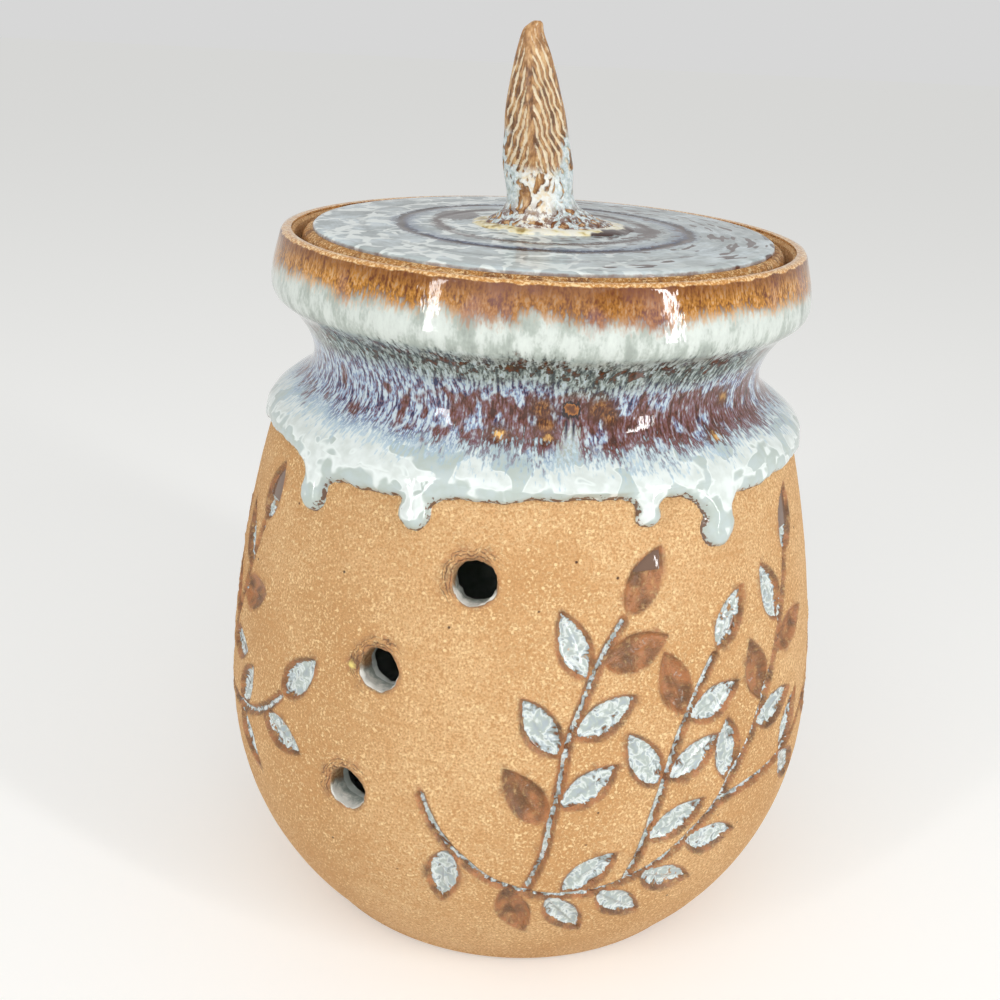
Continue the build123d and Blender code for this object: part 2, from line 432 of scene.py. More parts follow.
def vent_cutters(size):
    """One cutter for all the vents: ragged bores that flare a little where they leave the wall."""
    bore = size.vent / MM / 2
    outline = [(0, -BORE_DEPTH), (bore * 1.02, -BORE_DEPTH)]
    outline += [(bore * 0.98, depth) for depth in np.linspace(-9.5, -1.0, 9)]
    outline += [(bore, -0.5), (bore + 0.2, -0.1), (bore + 0.75, 0.5), (bore + 1.2, 1.6), (0, 1.6)]
    cutters = []
    for number, vent in enumerate(VENTS):
        cutter = turned(f"vent_cutter_{number}", outline, 56)
        points = places(cutter)
        ragged = 0.36 * rough(points, 2.6, number + 1) + 0.3 * rough(points, 0.9, number + 31)
        points[:, :2] *= (1 + ragged / bore)[:, None]
        middle, *turn = vent_frame(*vent)
        place(cutter, points @ np.array(turn) + np.array(middle))
        cutters.append(cutter)
    start_fresh()
    for cutter in cutters:
        cutter.select_set(True)
    bpy.context.view_layer.objects.active = cutters[0]
    bpy.ops.object.join()
    return cutters[0]


# --- the sprig that is cut and pressed into the wall --------------------------------------------------
# It is drawn on a sheet that wraps the wall: millimetres to the right of the front at SHEET_RADIUS,
# and height. Each stem has four control points, and its leaves: share of its length, side (1 left,
# -1 right, 0 at its end), and how much glaze lies in it.
SHEET_RADIUS = 60.0
SHEET_END = 95.0  # how far right it goes
SHEET_START = -60  # bearing before which a point belongs to the end of the sheet
STEMS = [
    (
        [(-17.0, 47.0), (-4.0, 16.0), (40.0, 20.0), (60.0, 82.0)],
        [(0.09, -1, 0.9), (0.2, -1, 0.3), (0.27, -1, 0.95), (0.35, -1, 1.0), (0.425, -1, 0.8)]
        + [(0.51, -1, 1.0), (0.73, -1, 0.9), (0.855, -1, 0.35), (0.29, 1, 1.0), (0.63, 1, 0.95)]
        + [(0.77, 1, 0.35), (0.9, 1, 0.9), (1.0, 0, 0.75)],
    ),
    (
        [(2.4, 30.4), (8.0, 44.0), (4.0, 62.0), (17.0, 80.0)],
        [(0.26, 1, 0.35), (0.32, -1, 1.0), (0.5, 1, 0.95), (0.575, -1, 0.9), (0.765, 1, 0.85)]
        + [(0.83, -1, 0.35), (1.0, 0, 0.3)],
    ),
    (
        [(20.6, 31.2), (26.0, 46.0), (26.0, 58.0), (36.0, 71.0)],
        [(0.17, -1, 0.95), (0.42, 1, 1.0), (0.45, -1, 0.9), (0.73, 1, 0.35), (0.71, -1, 1.0), (1.0, 0, 0.8)],
    ),
    (
        [(38.0, 42.5), (50.0, 44.0), (64.0, 41.0), (76.0, 55.0)],
        [(0.46, 1, 0.9), (0.46, -1, 1.0), (0.78, -1, 0.8), (1.0, 0, 0.9)],
    ),
]
LEAF_LENGTH = 12.4
LEAF_HALF_WIDTH = 3.0
LEAF_LEAN = 46.0  # from its stem, in degrees
LEAF_GAP = 1.3  # from the middle of its stem


def stem_line(controls):
    """Even points along a stem."""
    a, b, c, d = (np.array(control) for control in controls)
    t = np.linspace(0, 1, 60)[:, None]
    curve = a * (1 - t) ** 3 + 3 * b * t * (1 - t) ** 2 + 3 * c * t * t * (1 - t) + d * t**3
    return even_line(curve, 1.6)


def along_stem(line, share):
    """Point and heading at a share of a stem's length."""
    stop = share * (len(line) - 1)
    here = min(int(stop), len(line) - 2)
    step = line[here + 1] - line[here]
    return line[here] + step * (stop - here), atan2(step[1], step[0])


def to_stem(sheet, line):
    """Distance of each point of the sheet from a stem."""
    nearest = np.full(len(sheet), 1e3)
    for here, there in zip(line, line[1:]):
        step = there - here
        share = np.clip((sheet - here) @ step / (step @ step), 0, 1)
        nearest = np.minimum(nearest, np.hypot(*(sheet - here - share[:, None] * step).T))
    return nearest


def to_leaf(sheet, base, heading):
    """Distance outside a pointed leaf (below 0 inside), and distance from its midrib."""
    offset = sheet - base
    along = offset @ heading
    across = np.abs(offset @ np.array([-heading[1], heading[0]]))
    share = np.clip(along / LEAF_LENGTH, 0, 1)
    width = LEAF_HALF_WIDTH * np.sin(pi * share**0.85) ** 0.8
    beyond = np.maximum(np.maximum(-along, along - LEAF_LENGTH), 0)
    return np.hypot(np.maximum(across - width, 0), beyond) + np.minimum(across - width, 0), across


def sprig_relief(points, size):
    """Relief of the sprig at each point of the wall, with its glaze, its stain and how near it is."""
    cut = size.carved / MM
    press = size.pressed / MM
    half_stem = size.stem / MM / 2
    relief, pooled, stained = np.zeros((3, len(points)))
    near = np.full(len(points), 1e3)
    for repeat in range(REPEATS):
        turn = from_bearing(points, 360 * repeat / REPEATS)
        turn = np.where(turn < SHEET_START, turn + 360, turn)
        sheet = np.column_stack([np.radians(turn) * SHEET_RADIUS, points[:, 2]])
        close = (sheet[:, 0] < SHEET_END) & (sheet[:, 1] < SHOULDER)
        sheet = sheet[close]
        sheet += 0.3 * np.column_stack([rough(points[close], 8.0, 3), rough(points[close], 7.0, 23)])
        deep, pool, stain = np.zeros((3, len(sheet)))
        reach = np.full(len(sheet), 1e3)
        for controls, leaves in STEMS:
            line = stem_line(controls)
            away = to_stem(sheet, line)
            reach = np.minimum(reach, away - half_stem)
            deep = np.maximum(deep, cut * np.clip(1 - (away / half_stem) ** 2, 0, 1))
            pool = np.maximum(pool, 0.85 * (1 - ease(away, half_stem * 0.3, half_stem * 0.85)))
            stain = np.maximum(stain, 1 - ease(away, half_stem * 0.9, half_stem * 1.5))
            for share, side, glazed in leaves:
                spot, heading = along_stem(line, share)
                heading += radians(side * LEAF_LEAN)
                heading = np.array([cos(heading), sin(heading)])
                away, rib = to_leaf(sheet, spot + heading * LEAF_GAP, heading)
                reach = np.minimum(reach, away)
                hollow = press * (1 - np.exp(np.minimum(away, 0) / 0.6))
                hollow -= 0.4 * press * hill(rib, 0, 0.4) * ease(-away, 0.3, 1.0)
                deep = np.maximum(deep, hollow)
                pool = np.maximum(pool, glazed * ease(-away, 0.0, 0.8))
                stain = np.maximum(stain, 1 - ease(away, 0.05, 0.7))
        raised = 0.2 * hill(reach, 0.35, 0.35) * (1 + 0.6 * rough(points[close], 2.2, 5))
        relief[close] += raised - deep
        pooled[close] = np.maximum(pooled[close], pool)
        stained[close] = np.maximum(stained[close], stain)
        near[close] = np.minimum(near[close], reach)
    return relief, pooled, stained, near


# --- the collar's line and zones ---------------------------------------------------------------------
# Outer face of the run glaze, from inside the lip down to the top of the roll.
COAT = [
    (46.5, 133.35), (47.1, 133.5), (47.8, 133.45), (48.35, 133.0), (48.8, 131.6), (49.4, 129.4),
    (49.95, 127.2), (50.25, 125.2), (50.15, 123.4), (49.35, 121.9), (46.9, 119.9), (45.0, 117.5),
    (43.6, 115.0), (42.75, 112.4), (42.7, 109.8), (43.5, 107.8), (45.4, 105.9), (48.0, 104.1),
    (50.3, 102.3), (51.35, 101.0),
]
ROLL_TOP = 101.0  # height below which the glaze's thickness follows its hem
SHEET_FOOT = 87.4  # lowest height of the glaze's sheet, inside the clay
SHEET_BACK = 50.6  # radius of its foot's back
SHEET_LIFT = 4.6  # how much its foot rises over a vent
HIGH_VENTS = 80  # height over which a vent is under the sheet
COAT_REACH = 42.2  # smallest radius of the coat's outer face
COAT_FADE = 133.0  # height at which its runs and lumps die out
HEM_LEVEL = 98.0  # about the hem's height
HEM_FAR = 12.0  # largest distance from the hem that the glaze's finish reads
COAT_BACK = [(49.2, 99.0), (41.0, 107.6), (40.2, 113.6), (46.9, 123.4), (47.0, 131.8)]
# Height of the hem between its drips: bearing, height.
HEM = [
    (-180, 98.2), (-150, 97.2), (-122, 98.5), (-92, 97.3), (-70, 98.3), (-57, 98.3), (-50, 97.0),
    (-35, 96.5), (-28, 97.0), (-14, 98.2), (-4, 98.8), (12, 99.6), (20, 99.0), (32, 98.8),
    (45, 97.2), (52, 97.8), (72, 98.0), (96, 97.4), (122, 98.6), (150, 97.3), (180, 98.2),
]
# Glaze runs below the hem: bearing, height of the tip, half width.
DRIPS = [
    (-46.0, 89.8, 3.0),
    (-22.0, 92.3, 2.7),
    (21.0, 94.6, 2.2),
    (36.5, 89.6, 3.5),
    (94.0, 90.6, 3.1),
    (148.0, 88.9, 3.4),
    (-162.0, 93.2, 2.5),
    (-104.0, 90.4, 3.1),
]
ROUND_DROP = (7.0, 112.0)  # bearing and height of the bead with a dark drop on it
# Amber beads on the neck: bearing, height, radius, and how gold the middle is.
BEADS = [
    (-8.0, 107.5, 1.5, 1.0),
    (0.6, 112.0, 1.8, 0.0),
    (1.6, 109.2, 1.5, 0.0),
    (2.2, 107.6, 0.9, 0.6),
    (*ROUND_DROP, 1.2, 0.2),
    (13.2, 112.4, 1.8, 0.0),
    (15.4, 110.8, 1.4, 0.0),
    (42.0, 105.8, 1.6, 0.8),
    (48.0, 111.5, 1.4, 0.4),
    (88.0, 109.0, 2.0, 0.5),
    (131.0, 111.0, 1.6, 0.3),
    (170.0, 107.8, 1.8, 0.9),
    (-143.0, 110.5, 2.1, 0.3),
    (-96.0, 108.0, 1.6, 0.7),
]
DROP_RUNS = (4.5, 5.7)  # how far right the drop's two dark runs lie
DROP_RUN_WIDTH = 0.45
DROP_RUNS_LEVEL = (108.9, 2.9)  # height of their middle, and their reach up and down
FRONT = (-20.0, -30.0)  # along Y, where what is only in front starts and is whole
VEIL_MIDDLE = 5.2  # how far right the grey veil hangs
RIM_DARK_MIDDLE = 2.0  # and the dark stretch of the rim
# Heights between which a zone of the glaze starts and is whole, from the roll up.
NECK_FROM = (104.0, 105.4)
CREASE_FROM = (113.8, 117.4)
BAND_FROM = (119.8, 122.4)
RIM_FROM = (126.4, 129.2)
BURN_FROM = (131.6, 134.6)
LIP_FROM = (133.4, 133.65)
FRINGE_LEVEL = (104.6, 1.5)  # middle of the blue fringe over the roll, and its reach
BLOTCHES_LEVEL = (119.6, 3.2)  # and of the row of brown blotches


def on_coat(bearing, height):
    """Point on the neck's glaze."""
    line = np.array(COAT[::-1])
    out = float(np.interp(height, line[:, 1], line[:, 0]))
    return Vector((out * sin(radians(bearing)), -out * cos(radians(bearing)), height))


# --- the lid, its knob and the pool round it ---------------------------------------------------------
LID_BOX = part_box("lid_disc")
LID_UNDER = LID_BOX[0].z / MM
LID_TOP = LID_BOX[1].z / MM
LID_REACH = max(-LID_BOX[0].x, LID_BOX[1].x) / MM
# Rounded edge of the lid's glaze: distance inside its reach, and share of its height.
LID_GLAZE_EDGE = [(0.5, 0.93), (0.2, 0.72), (0.04, 0.4)]
LID_THROWN = [(26.7, 0.7, 0.12), (19.5, 0.8, 0.1), (34.0, 0.6, 0.06)]  # throwing lines: radius, width, depth
# Rings where the lid's glaze broke: radius, width, strength, and a colour with its share.
LID_RINGS = [
    (28.6, 3.8, 0.8, "sky", 0.6),
    (29.3, 1.9, 1.7, "navy", 0.9),
    (29.6, 1.1, 1.5, "umber", 0.45),
    (22.4, 2.2, 1.1, "umber", 0.8),
    (36.8, 1.2, 0.5, "slate", 0.5),
]
# Brown stains on the lid's glaze: middle along X and Y, and reach along X and Y.
LID_STAINS = [(-16.5, 8.0, 4.5, 7.0), (18.5, -0.5, 4.0, 3.5)]

# The knob in level slices: height over the lid's clay, middle along X, half width.
KNOB = [
    (0.0, 1.7, 14.6),
    (1.6, 1.2, 12.2),
    (3.4, 0.1, 8.6),
    (6.2, -0.9, 6.3),
    (13.0, -1.8, 6.4),
    (21.4, -2.7, 5.4),
    (30.0, -3.5, 3.5),
    (34.6, -3.9, 2.0),
    (36.1, -3.4, 1.2),
    (36.6, -3.2, 0.6),
]
FLATNESS = 0.75  # depth of every slice, over its width
SPINE = -0.9  # of the herringbone, from the knob's middle
GROOVES_FROM = 10.0
GROOVES_TO = 34.0
PALE_TIP = (LID_TOP + 27, LID_TOP + 37)  # heights between which the clay pales to the tip
KNOB_FACE_MIDDLE = -1.8  # along X, of the warm white on the knob's face

POOL_LOW, POOL_HIGH = (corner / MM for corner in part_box("knob_foot_glaze"))
POOL_MIDDLE = (POOL_LOW.x + POOL_HIGH.x) / 2  # of the pool round the knob's foot, along X
POOL_REACH = ((POOL_HIGH.x - POOL_LOW.x) / 2, (POOL_HIGH.y - POOL_LOW.y) / 2)
DRUM = 10  # radius of the plain drum that the knob and the pool are shaped from
# The pool's drum: radius, and height over the lid's clay.
POOL_DRUM = [(0, 1.9), (6, 1.95), (7.4, 1.9), (8.2, 1.8), (8.8, 1.68), (9.3, 1.5), (9.65, 1.3), (9.88, 1.1)]
POOL_DRUM += [(DRUM, 0.8), (DRUM, 0.3), (6, 0.3), (0, 0.3)]


# --- materials ---------------------------------------------------------------------------------------
# Tones that aren't settings, as linear values, and the ramps made of them.
VENT_WHITE = (0.95, 0.94, 0.87)
CRUMB_OCHRE = (0.93, 0.76, 0.24)
BLOTCH_BROWN = (0.055, 0.028, 0.012)
FRINGE_BLUE = (0.42, 0.58, 0.68)
BEAD_GOLD = (0.86, 0.50, 0.14)
IVORY = (0.84, 0.72, 0.52)
MILK_WHITE = (0.87, 0.87, 0.82)
IRON = [(0.40, (0.06, 0.022, 0.01)), (0.49, (0.17, 0.055, 0.012)), (0.60, (0.42, 0.19, 0.045))]
HORN = [
    (0.38, (0.14, 0.06, 0.02)),
    (0.46, (0.28, 0.13, 0.045)),
    (0.54, (0.44, 0.23, 0.085)),
    (0.64, (0.66, 0.43, 0.21)),
]
CREAM_OVER_OCHRE = [
    (0.38, (0.40, 0.28, 0.08)),
    (0.46, (0.82, 0.70, 0.36)),
    (0.54, (0.93, 0.88, 0.66)),
    (0.66, (0.94, 0.92, 0.80)),
]
# The round drop from its edge inwards: where each tone fades, from and to, in millimetres.
DROP_TONES = [
    (1.4, 1.65, (0.03, 0.02, 0.02)),
    (1.0, 1.2, (0.40, 0.15, 0.035)),
    (0.5, 1.0, (0.14, 0.05, 0.02)),
]


def toned(colour, share):
    """A colour made darker or lighter."""
    return tuple(share * c for c in colour)


class Nodes:
    """Helpers for one node tree. Each gives the socket that holds its result."""

    def __init__(self, tree):
        self.tree = tree

    def node(self, kind, **settings):
        made = self.tree.nodes.new(kind)
        for name, value in settings.items():
            setattr(made, name, value)
        return made

    def feed(self, socket, value):
        if isinstance(value, bpy.types.NodeSocket):
            self.tree.links.new(value, socket)
        elif hasattr(value, "__len__") and len(value) == 3 and socket.type == "RGBA":
            socket.default_value = (*value, 1.0)
        else:
            socket.default_value = value

    def node_out(self, kind, *inputs):
        """Outputs of a new node that is fed in order."""
        made = self.node(kind)
        for socket, value in zip(made.inputs, inputs):
            self.feed(socket, value)
        return made.outputs

    def math(self, operation, a, b=0.0):
        made = self.node("ShaderNodeMath", operation=operation)
        self.feed(made.inputs[0], a)
        self.feed(made.inputs[1], b)
        return made.outputs[0]

    def times(self, a, b):
        return self.math("MULTIPLY", a, b)

    def most(self, a, b):
        return self.math("MAXIMUM", a, b)

    def away(self, value, middle):
        """How far a value is from a middle."""
        return self.math("ABSOLUTE", self.math("SUBTRACT", value, middle))

    def vector(self, operation, a, b=(0, 0, 0), scale=1.0):
        made = self.node("ShaderNodeVectorMath", operation=operation)
        self.feed(made.inputs[0], a)
        if operation == "SCALE":
            self.feed(made.inputs["Scale"], scale)
        else:
            self.feed(made.inputs[1], b)
        return made.outputs["Value" if operation in ("LENGTH", "DISTANCE") else "Vector"]

    def at(self):
        """Place on the piece, in millimetres."""
        return self.vector("SCALE", self.node("ShaderNodeTexCoord").outputs["Object"], scale=1 / MM)

    def split(self, vector):
        return self.node_out("ShaderNodeSeparateXYZ", vector)

    def squeezed(self, where, share):
        """A place with its height squeezed, so that a pattern runs long down the piece."""
        return self.vector("MULTIPLY", where, (1.0, 1.0, share))

    def around(self, radius, squeeze, along=None):
        """Place on an upright drum of a radius, with heights, or a distance along, squeezed."""
        x, y, z = self.split(self.at())
        flat = self.node_out("ShaderNodeCombineXYZ", x, y, 0.0)[0]
        ring = self.vector("SCALE", self.vector("NORMALIZE", flat), scale=radius)
        run = self.times(z if along is None else along, squeeze)
        return self.vector("ADD", ring, self.node_out("ShaderNodeCombineXYZ", 0.0, 0.0, run)[0])

    def clouds(self, where, size, detail=2.0, rough=0.5, bend=0.0):
        """Outputs of a noise with lumps of a size in millimetres."""
        made = self.node("ShaderNodeTexNoise")
        self.feed(made.inputs["Vector"], where)
        made.inputs["Scale"].default_value = 1 / size
        made.inputs["Detail"].default_value = detail
        made.inputs["Roughness"].default_value = rough
        made.inputs["Distortion"].default_value = bend
        return made.outputs

    def noise(self, where, size, *how):
        """Noise from 0 to 1 with lumps of a size in millimetres."""
        return self.clouds(where, size, *how)[0]

    def bent(self, where, size, reach):
        """A place pushed about by noise, for bending a pattern."""
        push = self.vector("SUBTRACT", self.clouds(where, size)["Color"], (0.5, 0.5, 0.5))
        return self.vector("ADD", where, self.vector("SCALE", push, scale=reach))

    def cells(self, where, size, feature="F1"):
        """Distance from the nearest cell's point, or from its edge, in cells of a size."""
        made = self.node("ShaderNodeTexVoronoi", feature=feature)
        self.feed(made.inputs["Vector"], where)
        made.inputs["Scale"].default_value = 1 / size
        return made.outputs["Distance"]

    def remap(self, value, low, high, to_low=0.0, to_high=1.0):
        """Smooth step between two results as the value goes from low to high."""
        made = self.node("ShaderNodeMapRange", interpolation_type="SMOOTHSTEP")
        for socket, number in zip(made.inputs, (value, low, high, to_low, to_high)):
            self.feed(socket, number)
        return made.outputs[0]

    def blend(self, *parts):
        """Sum of (value, share) pairs."""
        total = 0.0
        for value, share in parts:
            total = self.math("ADD", total, self.times(value, share))
        return total

    def seen(self):
        """1 for what the camera, reflections and clear glass see, and 0 for plain light."""
        rays = self.node("ShaderNodeLightPath").outputs
        return self.most(rays["Is Camera Ray"], self.most(rays["Is Glossy Ray"], rays["Is Transmission Ray"]))

    def band(self, value, middle, width):
        """1 where the value is at a middle, and 0 a width away."""
        return self.remap(self.away(value, middle), 0.0, width, 1.0, 0.0)

    def mix(self, share, a, b):
        """Colour a with a share of colour b over it."""
        made = self.node("ShaderNodeMix", data_type="RGBA")
        self.feed(made.inputs[0], share)
        self.feed(made.inputs[6], a)
        self.feed(made.inputs[7], b)
        return made.outputs[2]

    def ramp(self, value, *stops):
        """Colour ramp through (position, colour) stops, from low to high."""
        made = self.node("ShaderNodeValToRGB")
        self.feed(made.inputs[0], value)
        points = made.color_ramp.elements
        while len(points) < len(stops):
            points.new(0.5)
        for point, (position, tone) in zip(points, stops):
            point.position = position
            point.color = (*tone, 1.0)
        return made.outputs[0]

    def marked(self, name):
        """A value that the piece's mesh carries."""
        return self.node("ShaderNodeAttribute", attribute_name=name).outputs["Fac"]

    def bump(self, height, depth):
        """Bumps with a relief of a depth in millimetres."""
        made = self.node("ShaderNodeBump")
        made.inputs["Distance"].default_value = depth * MM
        self.feed(made.inputs["Height"], height)
        return made.outputs[0]


class Paint(Nodes):
    """One material."""

    def __init__(self, name, roughness):
        self.material = bpy.data.materials.new(name)
        self.material.use_nodes = True
        super().__init__(self.material.node_tree)
        self.shader = self.tree.nodes["Principled BSDF"]
        self.shader.inputs["Roughness"].default_value = roughness

    def wear(self, colour, roughness=None, normal=None):
        """Joins the results to the shader, and gives the material."""
        for name, value in (("Base Color", colour), ("Roughness", roughness), ("Normal", normal)):
            if value is not None:
                self.feed(self.shader.inputs[name], value)
        return self.material


def clay_ground(paint, tone, toasted, colours):
    """Speckled bare clay: its colour, and a height for bumps."""
    at = paint.at()
    ground = paint.mix(paint.remap(paint.noise(at, 26.0), 0.35, 0.68, 0.0, 0.7), tone, toasted)
    mottle = paint.blend((paint.noise(at, 0.42, 1.0, 0.65), 0.88), (paint.noise(at, 7.0), 0.12))
    ground = paint.mix(paint.remap(mottle, 0.38, 0.50, 0.9, 0.0), ground, toned(toasted, 0.9))
    bright = paint.remap(paint.cells(at, 2.0), 0.12, 0.17, 1.0, 0.0)
    grains = paint.most(paint.remap(mottle, 0.545, 0.61, 0.0, 0.85), bright)
    ground = paint.mix(grains, ground, colours.grog)
    pits = paint.remap(paint.cells(at, 6.5), 0.02, 0.05, 1.0, 0.0)
    ground = paint.mix(pits, ground, colours.pit)
    height = paint.math("SUBTRACT", paint.math("ADD", paint.noise(at, 0.45, 3.0, 0.6), grains), pits)
    return ground, height


def bare_clay():
    """Bare speckled stoneware, with stain and glaze in what is cut into it."""
    colours = bpy.context.scene.keeper.colours
    paint = Paint("bare_clay", 0.82)
    ground, height = clay_ground(paint, colours.clay, colours.clay_dark, colours)
    at = paint.at()
    rings = paint.noise(paint.around(9.0, 1.0), 1.3)
    ground = paint.mix(paint.remap(rings, 0.35, 0.45, 0.28, 0.0), ground, colours.clay_dark)

    # Iron stain in and beside the cuts.
    broken = paint.noise(at, 1.1, 3.0, 0.6)
    stain = paint.times(paint.marked("stain"), paint.remap(broken, 0.28, 0.52, 0.45, 1.0))
    rust = paint.ramp(
        paint.blend((paint.noise(at, 3.0, 1.0), 0.7), (broken, 0.3)),
        (0.36, toned(colours.rust, 0.45)),
        (0.48, colours.rust),
        (0.58, toned(colours.rust, 1.8)),
    )
    ground = paint.mix(paint.times(stain, 0.9), ground, rust)

    # Pale glaze pooled in the cuts: thin and grey-green at their edges, white and blue within.
    pool = paint.math("ADD", paint.marked("pool"), paint.remap(broken, 0.3, 0.7, -0.3, 0.2))
    pool = paint.remap(pool, 0.50, 0.62)
    cloud = paint.noise(at, 2.3, 2.0, 0.6, 0.9)
    milk = paint.ramp(
        paint.blend((cloud, 0.75), (broken, 0.25), (paint.marked("inset"), 0.05), (1.0, -0.03)),
        (0.40, toned(colours.rust, 0.8)),
        (0.44, toned(colours.sage, 0.6)),
        (0.49, toned(colours.mist, 0.8)),
        (0.54, colours.cream),
        (0.61, toned(colours.sage, 0.95)),
        (0.70, toned(colours.mist, 0.7)),
    )
    ground = paint.mix(pool, ground, milk)

    # Vents: thin torn arcs above them, pale glaze that ran into their lower walls, painted shade that darkens
    # the bores deeper in and on their upper walls, and one crumb.
    beyond = paint.blend((paint.marked("vent_edge"), 1.0), (paint.noise(at, 1.8), 2.2), (1.0, -1.1))
    ragged = paint.times(paint.marked("vent_torn"), paint.remap(broken, 0.40, 0.50, 0.2, 0.85))
    for reach, width in TORN_ARCS:
        arc = paint.times(paint.band(beyond, reach, width), ragged)
        ground = paint.mix(arc, ground, toned(colours.rust, 0.5))
    inner = paint.marked("vent")
    # The lining's darkest tone is painted shade, strongest deep inside a bore.
    lining = paint.ramp(
        paint.blend((broken, 0.3), (inner, 0.5), (paint.marked("vent_depth"), -0.06)),
        (0.20, toned(colours.sage, 0.2)),
        (0.42, toned(colours.sage, 0.8)),
        (0.55, VENT_WHITE),
    )
    ground = paint.mix(inner, ground, lining)
    ground = paint.mix(paint.marked("crumb"), ground, CRUMB_OCHRE)

    # The glaze shines and is smooth. The bare clay is matte and grainy.
    shine = paint.most(pool, paint.times(inner, 0.8))
    matte = paint.math("SUBTRACT", 1.0, shine)
    shine = paint.most(shine, paint.times(stain, 0.6))
    normal = paint.bump(paint.times(height, matte), 0.14)
    return paint.wear(ground, paint.remap(shine, 0.0, 1.0, 0.82, 0.16), normal)


def liner_glaze():
    """Pale grey glaze that lines the jar."""
    colours = bpy.context.scene.keeper.colours
    paint = Paint("liner_glaze", 0.2)
    at = paint.at()
    cloud = paint.noise(at, 9.0, 3.0, 0.6)
    tone = paint.mix(paint.remap(cloud, 0.35, 0.65), colours.sage, colours.cream)
    rings = paint.noise(paint.around(6.0, 1.0), 2.6)
    tone = paint.mix(paint.remap(rings, 0.34, 0.44, 0.4, 0.0), tone, colours.slate)
    spots = paint.remap(paint.cells(at, 7.0), 0.05, 0.09, 0.8, 0.0)
    tone = paint.mix(spots, tone, colours.rust)
    return paint.wear(tone, normal=paint.bump(rings, 0.2))


